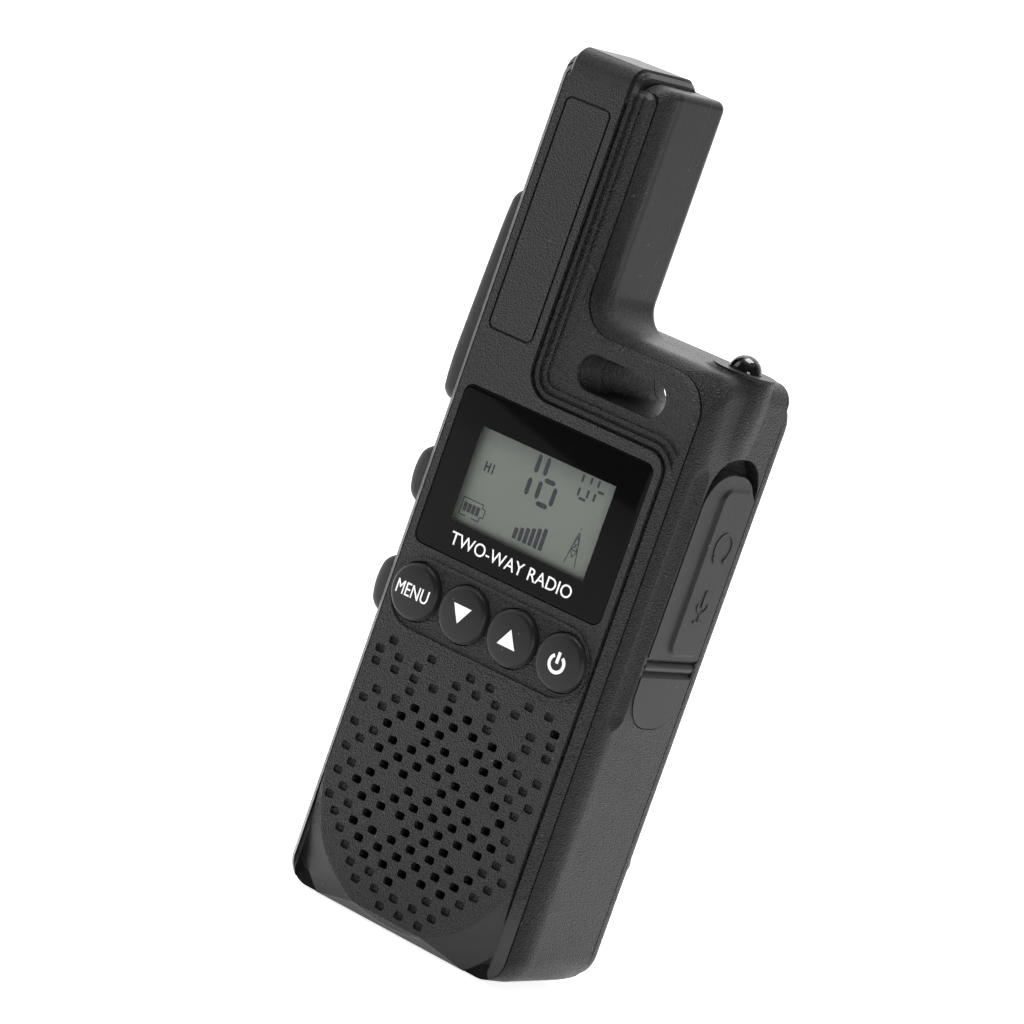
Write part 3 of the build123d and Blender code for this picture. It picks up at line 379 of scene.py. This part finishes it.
finishes = {
    "textured_case": casePlastic("textured_case", coverGrain, 0.27),
    "case_side": casePlastic("case_side", housingGrain, 0.16),
    "case_back": casePlastic("case_back", backGrain, 0.2),
    "window": windowPlastic(),
    "lcd": displayGlass(),
    "light_guide": plainMoulding("light_guide", (0.75, 0.77, 0.74, 1), 0.45, 8 * mm),
    "circuit_board": boardFinish(),
    "tinned_steel": metalFinish("tinned_steel", (0.62, 0.62, 0.6, 1), 0.35, (1, 1, 9)),
    "switch": plainMoulding("switch", grey(0.02), 0.4, 2 * mm),
    "dust_cloth": clothFinish(),
    "cone": plainMoulding("cone", grey(0.03), 0.5, 3 * mm),
    "magnet": metalFinish("magnet", (0.5, 0.5, 0.52, 1), 0.4, (1, 9, 1)),
    "copper": metalFinish("copper", (0.75, 0.36, 0.18, 1), 0.3, (1, 1, 1)),
    "clear_lens": clearLens(),
    "battery_wrap": plainMoulding("battery_wrap", (0.09, 0.12, 0.2, 1), 0.25, 12 * mm),
    "contact_metal": metalFinish("contact_metal", (0.8, 0.62, 0.3, 1), 0.25, (9, 1, 1)),
    "soft_rubber": plainRubber("soft_rubber", 0.009, 0.42, 0.12),
    "key_rubber": plainRubber("key_rubber", 0.014, 0.5, 0.2),
    "button_rubber": plainRubber("button_rubber", 0.007, 0.38, 0.17),
    "socket": plainMoulding("socket", grey(0.02), 0.35, 2 * mm),
    "screw": metalFinish("screw", (0.06, 0.06, 0.065, 1), 0.35, (1, 9, 1)),
    "print": inkFinish("white_print", (0.82, 0.82, 0.82, 1), 0.45, 0.05),
    "segments": inkFinish("display_segments", (0.028, 0.03, 0.036, 1), 0.5, 0.2),
}

slotOf = {part["node"]: part["material_slot"] for part in frame["record"]["subparts"]}
for name, node in nodes.items():
    finishName = "case_back" if name in ("back_cover", "battery_door") else slotOf[name]
    node.data.materials.clear()
    node.data.materials.append(finishes[finishName])
print("radio: finishes on the fixed parts")


def finishPiece(bm, name, body, finishName, sharp=40, replaced=()):
    mesh = bpy.data.meshes.new(name)
    bm.to_mesh(mesh)
    bm.free()
    mesh.materials.append(finishes[finishName])
    for face in mesh.polygons:
        face.use_smooth = True
    mesh.set_sharp_from_angle(angle=math.radians(sharp))
    piece = bpy.data.objects.new(name, mesh)
    bpy.context.scene.collection.objects.link(piece)
    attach(piece, body)
    if replaced:
        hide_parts(*replaced)


def addBlock(bm, low, high):
    # a box between two corners
    low, high = Vector(low), Vector(high)
    made = bmesh.ops.create_cube(bm, size=1.0)
    bmesh.ops.scale(bm, vec=high - low, verts=made["verts"])
    bmesh.ops.translate(bm, vec=(low + high) / 2, verts=made["verts"])
    return made["verts"]


def edgesAlong(verts, axis):
    found = set()
    for vert in verts:
        for edge in vert.link_edges:
            run = edge.verts[0].co - edge.verts[1].co
            if abs(run[axis]) > 0.999 * run.length:
                found.add(edge)
    return list(found)


def spinProfile(bm, points, centre, axis, steps):
    # points are (distance from the axis, distance along it)
    side = Vector((1, 0, 0))
    verts = [bm.verts.new(centre + side * out + axis * along) for out, along in points]
    edges = [bm.edges.new(pair) for pair in zip(verts, verts[1:])]
    bmesh.ops.spin(bm, geom=verts + edges, cent=centre, axis=axis, angle=math.tau, steps=steps,
                   use_merge=True)
    bmesh.ops.remove_doubles(bm, verts=bm.verts, dist=1e-7)
    bmesh.ops.recalc_face_normals(bm, faces=bm.faces)


def roundedProfile(radius, edge, dome, depth, count=7):
    # a cap: domed top, rounded rim and a straight side that goes in to depth
    points = []
    for step in range(count):
        out = (radius - edge) * step / count
        points.append((out, dome * (1 - (out / radius) ** 2)))
    rimStart = dome * (1 - ((radius - edge) / radius) ** 2)
    for step in range(count + 1):
        turn = math.pi / 2 * step / count
        points.append((radius - edge + edge * math.sin(turn), rimStart - edge * (1 - math.cos(turn))))
    points.append((radius, -depth))
    points.append((radius - edge, -depth))
    return points


def markMesh(words, width, height, thick):
    # lettering as a solid mesh, fitted to a width and a height, centred, facing -Y
    curve = bpy.data.curves.new("mark", "FONT")
    curve.body = words
    curve.size = 1.0
    curve.resolution_u = 6
    curve.extrude = 0.05
    text = bpy.data.objects.new("mark", curve)
    bpy.context.scene.collection.objects.link(text)
    bpy.context.view_layer.update()
    mesh = bpy.data.meshes.new_from_object(text)
    bpy.data.objects.remove(text)
    bm = bmesh.new()
    bm.from_mesh(mesh)
    bpy.data.meshes.remove(mesh)
    bmesh.ops.remove_doubles(bm, verts=bm.verts, dist=1e-5)
    bmesh.ops.rotate(bm, verts=bm.verts, cent=(0, 0, 0), matrix=Matrix.Rotation(math.pi / 2, 3, "X"))
    spans = [[v.co[axis] for v in bm.verts] for axis in range(3)]
    middle = Vector([(min(span) + max(span)) / 2 for span in spans])
    size = Vector([max(span) - min(span) for span in spans])
    bmesh.ops.translate(bm, vec=-middle, verts=bm.verts)
    bmesh.ops.scale(bm, vec=(width / size.x, thick / size.y, height / size.z), verts=bm.verts)
    return bm


# round front buttons with printed marks
button = {
    "radius": 4.32 * mm,
    "edge": 0.85 * mm,
    "dome": 0.32 * mm,
    "skirt": 2.4 * mm,
    "steps": 72,
    "printThick": 0.06 * mm,
    "printLift": 0.02 * mm,
    "menuWidth": 6.0 * mm,
    "menuHeight": 2.05 * mm,
    "triangle": 1.95 * mm,
    "triangleShape": (0.98, 1, 0.92),
    "ring": 1.28 * mm,
    "ringWidth": 0.5 * mm,
    "ringGap": math.radians(34),
    "ringSide": -0.1 * mm,
    "ringDrop": 0.25 * mm,
    "barHalf": 0.25 * mm,
    "barFoot": 0.05 * mm,
    "barTop": 1.75 * mm,
}


def buttonSeat(node):
    low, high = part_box(node)
    return Vector(((low.x + high.x) / 2, low.y + button["dome"], (low.z + high.z) / 2))


def settleOnDome(bm, seat):
    # the print follows the button's dome
    for vert in bm.verts:
        out = math.hypot(vert.co.x - seat.x, vert.co.z - seat.z)
        vert.co.y -= button["dome"] * (1 - (out / button["radius"]) ** 2)


def buttonCap(node):
    bm = bmesh.new()
    points = roundedProfile(button["radius"], button["edge"], button["dome"], button["skirt"])
    spinProfile(bm, points, buttonSeat(node), Vector((0, -1, 0)), button["steps"])
    finishPiece(bm, node + "_cap", node, "button_rubber", replaced=[node])


def menuMark(node):
    seat = buttonSeat(node)
    bm = markMesh("MENU", button["menuWidth"], button["menuHeight"], button["printThick"])
    bmesh.ops.translate(bm, vec=seat - Vector((0, button["printLift"], 0)), verts=bm.verts)
    settleOnDome(bm, seat)
    finishPiece(bm, "menu_mark", node, "print")


def arrowMark(node, name, turn):
    # a triangle, point up unless it is turned
    seat = buttonSeat(node)
    bm = bmesh.new()
    face = Matrix.Rotation(math.pi / 2, 4, "X")
    bmesh.ops.create_circle(bm, cap_ends=True, radius=button["triangle"], segments=3, matrix=face)
    bmesh.ops.scale(bm, vec=button["triangleShape"], verts=bm.verts)
    bmesh.ops.rotate(bm, verts=bm.verts, cent=(0, 0, 0), matrix=Matrix.Rotation(turn, 3, "Y"))
    span = [v.co.z for v in bm.verts]
    middle = (min(span) + max(span)) / 2
    bmesh.ops.translate(bm, vec=(0, button["printThick"] / 2, -middle), verts=bm.verts)
    bmesh.ops.subdivide_edges(bm, edges=bm.edges, cuts=3, use_grid_fill=True)
    grown = bmesh.ops.extrude_face_region(bm, geom=bm.faces[:])
    moved = [part for part in grown["geom"] if isinstance(part, bmesh.types.BMVert)]
    bmesh.ops.translate(bm, vec=(0, -button["printThick"], 0), verts=moved)
    bmesh.ops.recalc_face_normals(bm, faces=bm.faces)
    bmesh.ops.translate(bm, vec=seat, verts=bm.verts)
    settleOnDome(bm, seat)
    finishPiece(bm, name, node, "print")


def ringMark(bm, centre, radius, width, thick, start, sweep, steps, normal):
    # a flat ring, or part of one, facing the way of normal
    across = Vector((0, 0, 1))
    inner, outer = radius - width / 2, radius + width / 2
    corners = [(inner, 0), (outer, 0), (outer, thick), (inner, thick)]
    first = Matrix.Rotation(start, 3, normal) @ across
    verts = [bm.verts.new(centre + first * out + normal * rise) for out, rise in corners]
    section = bm.faces.new(verts)
    geometry = [section] + section.edges[:] + verts
    bmesh.ops.spin(bm, geom=geometry, cent=centre, axis=normal, angle=sweep, steps=steps)


def powerMark(node):
    # a ring open at the top, with a bar in the gap
    seat = buttonSeat(node)
    thick = button["printThick"]
    gap = button["ringGap"]
    centre = seat + Vector((button["ringSide"], thick / 2, -button["ringDrop"]))
    bm = bmesh.new()
    ringMark(bm, centre, button["ring"], button["ringWidth"], thick, gap, math.tau - 2 * gap, 40,
             Vector((0, -1, 0)))
    addBlock(bm, centre + Vector((-button["barHalf"], -thick, button["barFoot"])),
             centre + Vector((button["barHalf"], 0, button["barTop"])))
    bmesh.ops.recalc_face_normals(bm, faces=bm.faces)
    settleOnDome(bm, seat)
    finishPiece(bm, "power_mark", node, "print")


for node in ("menu_button", "down_button", "up_button", "power_button"):
    buttonCap(node)
menuMark("menu_button")
arrowMark("down_button", "down_mark", math.pi)
arrowMark("up_button", "up_mark", 0)
powerMark("power_button")
print("radio: front buttons")


# display window with its printed words
window = {
    "corner": 1.5 * mm,
    "edge": 0.16 * mm,
    "words": "TWO-WAY RADIO",
    "wordsWidth": 22.9 * mm,
    "wordsHeight": 1.95 * mm,
    "wordsDrop": 9.6 * mm,
    "printThick": 0.02 * mm,
}


def displayWindow():
    low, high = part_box("display_window")
    bm = bmesh.new()
    verts = addBlock(bm, low, high)
    bmesh.ops.bevel(bm, geom=edgesAlong(verts, 1), offset=window["corner"], affect="EDGES", segments=8,
                    profile=0.5, material=-1)
    rim = [edge for edge in bm.edges if all(v.co.y < low.y + 1e-7 for v in edge.verts)]
    bmesh.ops.bevel(bm, geom=rim, offset=window["edge"], affect="EDGES", segments=3,
                    profile=0.5, material=-1)
    finishPiece(bm, "window_sheet", "case", "window", replaced=["display_window"])
    bm = markMesh(window["words"], window["wordsWidth"], window["wordsHeight"], window["printThick"])
    centre = (low + high) / 2
    place = (centre.x, low.y - window["printThick"] / 2, centre.z - window["wordsDrop"])
    bmesh.ops.translate(bm, vec=place, verts=bm.verts)
    finishPiece(bm, "window_words", "case", "print")


displayWindow()


# what the display shows: channel, level, battery and signal, in mm from its middle
segments = {
    "thick": 0.03 * mm,
    "digitLine": 0.74 * mm,
    "letterLine": 0.4 * mm,
    "highLine": 0.288 * mm,
    "outline": 0.17 * mm,
    "batteryBar": 0.64 * mm,
    "signalBar": 0.7 * mm,
    "mastLine": 0.15 * mm,
    "digits": [((-1.87, 6.95), (-1.9, 4.1)), ((-2.27, 3.2), (-2.27, 0.55)), ((-0.3, 7.0), (-0.25, 4.2)),
               ((0.05, 3.72), (2.1, 3.72)), ((-0.37, 3.35), (-0.37, 0.62)), ((2.42, 3.3), (2.42, 0.45)),
               ((-0.1, 0.12), (2.05, 0.12))],
    "letters": [((6.2, 6.95), (6.2, 5.7)), ((6.25, 4.9), (6.25, 3.65)), ((6.55, 3.42), (7.85, 3.42)),
                ((7.75, 7.0), (7.75, 5.9)), ((7.85, 5.1), (7.85, 3.8)), ((9.1, 7.0), (9.1, 5.9)),
                ((9.1, 5.0), (9.1, 3.75)), ((9.3, 5.4), (10.5, 5.4))],
    "high": [((-10.42, 2.7), (-10.42, 1.15)), ((-9.68, 2.7), (-9.68, 1.15)),
             ((-10.42, 1.95), (-9.68, 1.95)), ((-9.0, 2.7), (-9.0, 1.15))],
    "batteryOutline": [((-12.2, -3.5), (-8.5, -3.5)), ((-12.2, -3.5), (-12.2, -6.1)),
                       ((-12.2, -6.1), (-10.9, -6.1)), ((-9.9, -6.1), (-8.5, -6.1)),
                       ((-8.5, -3.5), (-8.5, -4.1)), ((-8.5, -4.1), (-7.9, -4.1)),
                       ((-7.9, -4.1), (-7.9, -5.4)), ((-7.9, -5.4), (-8.5, -5.4)),
                       ((-8.5, -5.4), (-8.5, -6.1))],
    "batteryBars": [(-11.5 + 0.78 * i, -4.1, -5.45) for i in range(4)],
    "signal": [(-1.72 + 0.98 * i, -4.4 + 0.33 * i, -6.08) for i in range(6)],
    "mast": [((8.6, -1.6), (7.8, -6.1)), ((9.0, -1.6), (9.82, -6.1)), ((8.6, -1.6), (8.8, -1.15)),
             ((9.0, -1.6), (8.8, -1.15)), ((8.6, -1.6), (9.2, -2.7)), ((9.0, -1.6), (8.42, -2.7)),
             ((8.42, -2.7), (9.4, -3.9)), ((9.2, -2.7), (8.2, -3.9)), ((8.2, -3.9), (9.4, -3.9)),
             ((8.2, -3.9), (8.85, -5.0)), ((9.4, -3.9), (8.75, -5.0))],
    "mastTip": ((8.8, -0.62), 0.13),
}


def displaySegments():
    low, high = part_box("lcd_module")
    centre = Vector(((low.x + high.x) / 2, low.y, (low.z + high.z) / 2))
    bm = bmesh.new()

    def stroke(start, end, width, trim=0.0):
        # a bar between two points, its corners cut by trim of its width
        a, b = Vector((start[0], 0, start[1])) * mm, Vector((end[0], 0, end[1])) * mm
        run = b - a
        before = set(bm.verts)
        made = bmesh.ops.create_cube(bm, size=1.0)["verts"]
        bmesh.ops.scale(bm, vec=(width, segments["thick"], run.length), verts=made)
        if trim:
            bmesh.ops.bevel(bm, geom=edgesAlong(made, 1), offset=width * trim, affect="EDGES", segments=1,
                            profile=0.5, material=-1)
            made = [vert for vert in bm.verts if vert not in before]
        lean = math.atan2(run.x, run.z)
        bmesh.ops.rotate(bm, verts=made, cent=(0, 0, 0), matrix=Matrix.Rotation(lean, 3, "Y"))
        bmesh.ops.translate(bm, vec=centre + (a + b) / 2, verts=made)

    for start, end in segments["digits"]:
        stroke(start, end, segments["digitLine"], 0.42)
    for start, end in segments["letters"]:
        stroke(start, end, segments["letterLine"], 0.35)
    for start, end in segments["high"]:
        stroke(start, end, segments["highLine"])
    for start, end in segments["batteryOutline"]:
        stroke(start, end, segments["outline"])
    for x, top, foot in segments["batteryBars"]:
        stroke((x, top), (x, foot), segments["batteryBar"])
    for x, top, foot in segments["signal"]:
        stroke((x, top), (x, foot), segments["signalBar"], 0.1)
    for start, end in segments["mast"]:
        stroke(start, end, segments["mastLine"])
    (x, z), size = segments["mastTip"]
    stroke((x, z - size), (x, z + size), 2 * size * mm, 0.4)
    finishPiece(bm, "display_segments", "case", "segments", sharp=20)


displaySegments()
print("radio: display")


# soft side keys, swelling towards their lower ends
sideKeys = {
    "rim": 0.6 * mm,
    "width": 8.6 * mm,
    "corner": 2.1 * mm,
    "arcs": 6,
    "cuts": 30,
    "rings": 12,
    "round": 1.2 * mm,
    "wallGap": 0.15 * mm,
    "spine": 0.2 * mm,
    "spread": 1.6,
    "swellEnd": 0.8,
    "ptt_key": {"bow": 0.5, "bend": 6, "start": 0.62, "full": 0.9},
    "side_key_upper": {"bow": 0.94, "bend": 2, "start": 0.9, "full": 0.86},
    "side_key_lower": {"bow": 0.94, "bend": 2, "start": 0.9, "full": 0.86},
}


def roundedRing(bm, middle, halfWidth, halfLength, corner, lift):
    # closed loop of edges round a rounded rectangle; lift gives each point's x
    points = []
    for turn, across, along in ((0, 1, 1), (1, -1, 1), (2, -1, -1), (3, 1, -1)):
        for step in range(sideKeys["arcs"] + 1):
            angle = (turn + step / sideKeys["arcs"]) * math.pi / 2
            points.append((middle.y + across * (halfWidth - corner) + corner * math.cos(angle),
                           middle.z + along * (halfLength - corner) + corner * math.sin(angle)))
        if turn in (1, 3):
            start = points[-1][1]
            end = middle.z + (halfLength - corner) * (-1 if turn == 1 else 1)
            for cut in range(1, sideKeys["cuts"]):
                points.append((points[-1][0], start + (end - start) * cut / sideKeys["cuts"]))
    verts = [bm.verts.new((lift(z), y, z)) for y, z in points]
    return verts, [bm.edges.new(pair) for pair in zip(verts, verts[1:] + verts[:1])]


def sideKey(node):
    low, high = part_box(node)
    own = sideKeys[node]
    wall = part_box("middle_housing")[0].x
    halfWidth = sideKeys["width"] / 2
    halfLength = (high.z - low.z) / 2 - sideKeys["rim"]
    middle = Vector((wall, low.y + halfWidth, (low.z + high.z) / 2))
    seat = wall + sideKeys["wallGap"]
    rise = seat - low.x
    bm = bmesh.new()
    lastVerts, lastEdges = roundedRing(bm, middle, halfWidth, halfLength, sideKeys["corner"],
                                       lambda z: high.x)
    bm.faces.new(lastVerts)
    for ring in range(sideKeys["rings"] + 1):
        inset = (halfWidth - sideKeys["spine"]) * (ring / sideKeys["rings"]) ** sideKeys["spread"]
        near = min(inset / sideKeys["round"], 1)

        def lift(z):
            down = (middle.z + halfLength - z) / (2 * halfLength)
            swell = own["start"] + (own["full"] - own["start"]) * min(down / sideKeys["swellEnd"], 1)
            swell *= math.sqrt(1 - own["bow"] * (2 * down - 1) ** own["bend"])
            return seat - rise * swell * math.sqrt(1 - (1 - near) ** 2)

        verts, edges = roundedRing(bm, middle, halfWidth - inset, halfLength - inset,
                                   max(sideKeys["corner"] - inset, 0.1 * mm), lift)
        bmesh.ops.bridge_loops(bm, edges=lastEdges + edges)
        lastVerts, lastEdges = verts, edges
    bm.faces.new(lastVerts)
    bmesh.ops.recalc_face_normals(bm, faces=bm.faces)
    finishPiece(bm, node + "_soft", node, "key_rubber", sharp=50, replaced=[node])


for node in ("ptt_key", "side_key_upper", "side_key_lower"):
    sideKey(node)
print("radio: side keys")


# marks moulded on the jack cover: a headset and a microphone, each with its place up the cover
coverMarks = {
    "line": 0.34 * mm,
    "rise": 0.13 * mm,
    "sink": 0.03 * mm,
    "across": 4.6 * mm,
    "headset": 70.6 * mm,
    "band": 2.15 * mm,
    "bandGap": math.radians(42),
    "pad": (1.5 * mm, -1.75 * mm),
    "padHalf": 0.32 * mm,
    "padFoot": 0.6 * mm,
    "padTop": 0.55 * mm,
    "padLean": math.radians(-38),
    "microphone": 61.4 * mm,
    "bodyHalf": 0.42 * mm,
    "bodyFoot": 0.2 * mm,
    "bodyTop": 2.5 * mm,
    "bodyRound": 0.4 * mm,
    "cradle": 1.35 * mm,
    "cradleRise": 0.35 * mm,
    "stem": (-2.3 * mm, -0.9 * mm),
    "base": (-2.6 * mm, -2.25 * mm),
    "baseHalf": 1.1 * mm,
}


def headsetMark(centre, thick, normal):
    bm = bmesh.new()
    gap = coverMarks["bandGap"]
    ringMark(bm, centre, coverMarks["band"], coverMarks["line"], thick, math.pi + gap,
             math.tau - 2 * gap, 36, normal)
    for side in (-1, 1):
        pad = centre + Vector((0, side * coverMarks["pad"][0], coverMarks["pad"][1]))
        made = addBlock(bm, pad + Vector((0, -coverMarks["padHalf"], -coverMarks["padFoot"])),
                        pad + Vector((thick * 1.3, coverMarks["padHalf"], coverMarks["padTop"])))
        lean = Matrix.Rotation(side * coverMarks["padLean"], 3, "X")
        bmesh.ops.rotate(bm, verts=made, cent=pad, matrix=lean)
    bmesh.ops.recalc_face_normals(bm, faces=bm.faces)
    finishPiece(bm, "earphone_mark", "jack_cover_flap", "soft_rubber")


def microphoneMark(centre, thick, normal):
    bm = bmesh.new()
    body = addBlock(bm, centre + Vector((0, -coverMarks["bodyHalf"], -coverMarks["bodyFoot"])),
                    centre + Vector((thick * 1.2, coverMarks["bodyHalf"], coverMarks["bodyTop"])))
    bmesh.ops.bevel(bm, geom=edgesAlong(body, 0), offset=coverMarks["bodyRound"], affect="EDGES",
                    segments=4, profile=0.5, material=-1)
    ringMark(bm, centre + Vector((0, 0, coverMarks["cradleRise"])), coverMarks["cradle"],
             coverMarks["line"], thick, math.pi / 2, math.pi, 20, normal)
    for (foot, top), half in ((coverMarks["stem"], coverMarks["line"] / 2),
                              (coverMarks["base"], coverMarks["baseHalf"])):
        addBlock(bm, centre + Vector((0, -half, foot)), centre + Vector((thick, half, top)))
    bmesh.ops.recalc_face_normals(bm, faces=bm.faces)
    finishPiece(bm, "microphone_mark", "jack_cover_flap", "soft_rubber")


def jackCoverMarks():
    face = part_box("jack_cover_flap")[1].x - coverMarks["sink"]
    normal = Vector((1, 0, 0))
    thick = coverMarks["rise"] + coverMarks["sink"]
    headsetMark(Vector((face, coverMarks["across"], coverMarks["headset"])), thick, normal)
    microphoneMark(Vector((face, coverMarks["across"], coverMarks["microphone"])), thick, normal)


jackCoverMarks()
print("radio: jack cover marks")


# light on the shoulder: clear dome, its reflector cup and two lead frames
dome = {
    "radius": 2.5 * mm,
    "arcs": 12,
    "steps": 64,
    "cupDrop": 1.1 * mm,
    "cup": [(0, 1.4 * mm), (0.7 * mm, 1.4 * mm), (1.25 * mm, 2.3 * mm), (1.4 * mm, 2.3 * mm),
            (1.4 * mm, 1.8 * mm), (0.9 * mm, 0.8 * mm), (0.9 * mm, 0), (0, 0)],
    "postPlace": 1.6 * mm,
    "postHalf": 0.22 * mm,
    "postHeight": 2.5 * mm,
    "postStep": 0.2 * mm,
    "postEdge": 0.08 * mm,
    "chip": 0.35 * mm,
    "chipPlace": 1.4 * mm,
    "chipHeight": 0.3 * mm,
    "chipEdge": 0.06 * mm,
}


def shoulderLight():
    low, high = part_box("light_lens")
    axis = Vector((0, 0, 1))
    foot = Vector(((low.x + high.x) / 2, (low.y + high.y) / 2, low.z))
    top = high.z - low.z
    radius = dome["radius"]
    points = [(0, 0), (radius, 0)]
    for step in range(dome["arcs"] + 1):
        turn = math.pi / 2 * step / dome["arcs"]
        points.append((radius * math.cos(turn), top - radius + radius * math.sin(turn)))
    points[-1] = (0, top)
    bm = bmesh.new()
    spinProfile(bm, points, foot, axis, dome["steps"])
    finishPiece(bm, "light_dome", "case", "clear_lens", replaced=["light_lens"])

    inside = foot + Vector((0, 0, top - radius - dome["cupDrop"]))
    bm = bmesh.new()
    spinProfile(bm, dome["cup"], inside, axis, 40)
    made = []
    for side in (-1, 1):
        post = inside + Vector((side * dome["postPlace"], 0, 0))
        half = Vector((dome["postHalf"], dome["postHalf"], 0))
        tall = Vector((0, 0, dome["postHeight"] + side * dome["postStep"]))
        made += addBlock(bm, post - half, post + half + tall)
    bmesh.ops.bevel(bm, geom=edgesAlong(made, 2), offset=dome["postEdge"], affect="EDGES", segments=2,
                    profile=0.5, material=-1)
    finishPiece(bm, "light_cup", "case", "tinned_steel")

    bm = bmesh.new()
    corner = Vector((dome["chip"], dome["chip"], 0))
    seat = inside + Vector((0, 0, dome["chipPlace"]))
    addBlock(bm, seat - corner, seat + corner + Vector((0, 0, dome["chipHeight"])))
    bmesh.ops.bevel(bm, geom=bm.edges[:], offset=dome["chipEdge"], affect="EDGES", segments=2,
                    profile=0.5, material=-1)
    finishPiece(bm, "light_chip", "case", "contact_metal")


shoulderLight()
print("radio: light")


# floor, world and lamps
studio = {
    "floorSize": 40.0,
    "floorDrop": 0.1 * mm,
    "floorGlow": 0.85,
    "dim": 0.12,
    "bright": 1.7,
    "brightSide": (-0.7, 0.7, 0.2),
    "dimEnd": -0.1,
    "brightStart": 0.85,
    "lampTarget": (0, 0, 0.07),
    "lamps": [
        {"name": "overhead", "place": (0.0, 0.1, 0.9), "size": 0.5, "power": 10.0},
        {"name": "right", "place": (0.78, -0.5, 0.16), "size": 0.34, "power": 2.6},
        {"name": "left", "place": (-0.6, -0.55, 0.55), "size": 0.5, "power": 1.5},
    ],
}


def addFloor():
    bm = bmesh.new()
    bmesh.ops.create_grid(bm, x_segments=8, y_segments=8, size=studio["floorSize"] / 2)
    bmesh.ops.translate(bm, vec=(0, 0, cadBox[0][2] - studio["floorDrop"]), verts=bm.verts)
    mesh = bpy.data.meshes.new("floor")
    bm.to_mesh(mesh)
    bm.free()
    floor = bpy.data.objects.new("floor", mesh)
    bpy.context.scene.collection.objects.link(floor)
    paper = Finish("floor_paper", Specular_IOR_Level=0.0, Emission_Strength=studio["floorGlow"])
    fibre = paper.noise(0.02, 3.0)
    paper.shader.inputs["Emission Color"].default_value = (1, 1, 1, 1)
    paper.feed(Base_Color=paper.mix(fibre, grey(0.86), grey(0.9)), Roughness=0.9 + fibre * 0.05)
    mesh.materials.append(paper.material)


def addWorld():
    # soft light, bright on one side, and white where the camera looks past the object
    world = bpy.data.worlds.new("studio")
    world.use_nodes = True
    tree = world.node_tree
    bpy.context.scene.world = world
    bpy.context.scene.view_settings.view_transform = "Standard"
    light = tree.nodes["Background"]
    light.inputs["Color"].default_value = (1, 1, 1, 1)
    way = tree.nodes.new("ShaderNodeTexCoord")
    toward = tree.nodes.new("ShaderNodeVectorMath")
    toward.operation = "DOT_PRODUCT"
    toward.inputs[1].default_value = Vector(studio["brightSide"]).normalized()
    tree.links.new(way.outputs["Generated"], toward.inputs[0])
    level = tree.nodes.new("ShaderNodeMapRange")
    level.interpolation_type = "SMOOTHSTEP"
    level.inputs["From Min"].default_value = studio["dimEnd"]
    level.inputs["From Max"].default_value = studio["brightStart"]
    level.inputs["To Min"].default_value = studio["dim"]
    level.inputs["To Max"].default_value = studio["bright"]
    tree.links.new(toward.outputs["Value"], level.inputs["Value"])
    tree.links.new(level.outputs["Result"], light.inputs["Strength"])
    seen = tree.nodes.new("ShaderNodeBackground")
    seen.inputs["Color"].default_value = (1, 1, 1, 1)
    path = tree.nodes.new("ShaderNodeLightPath")
    choose = tree.nodes.new("ShaderNodeMixShader")
    tree.links.new(path.outputs["Is Camera Ray"], choose.inputs[0])
    tree.links.new(light.outputs[0], choose.inputs[1])
    tree.links.new(seen.outputs[0], choose.inputs[2])
    tree.links.new(choose.outputs[0], tree.nodes["World Output"].inputs["Surface"])


def addLamps():
    middle = Vector(studio["lampTarget"])
    for lamp in studio["lamps"]:
        data = bpy.data.lights.new(lamp["name"], "AREA")
        data.size = lamp["size"]
        data.energy = lamp["power"]
        holder = bpy.data.objects.new(lamp["name"], data)
        holder.location = lamp["place"]
        holder.rotation_euler = (middle - Vector(lamp["place"])).to_track_quat("-Z", "Y").to_euler()
        bpy.context.scene.collection.objects.link(holder)


addCamera()
addFloor()
addWorld()
addLamps()
print("radio: studio")
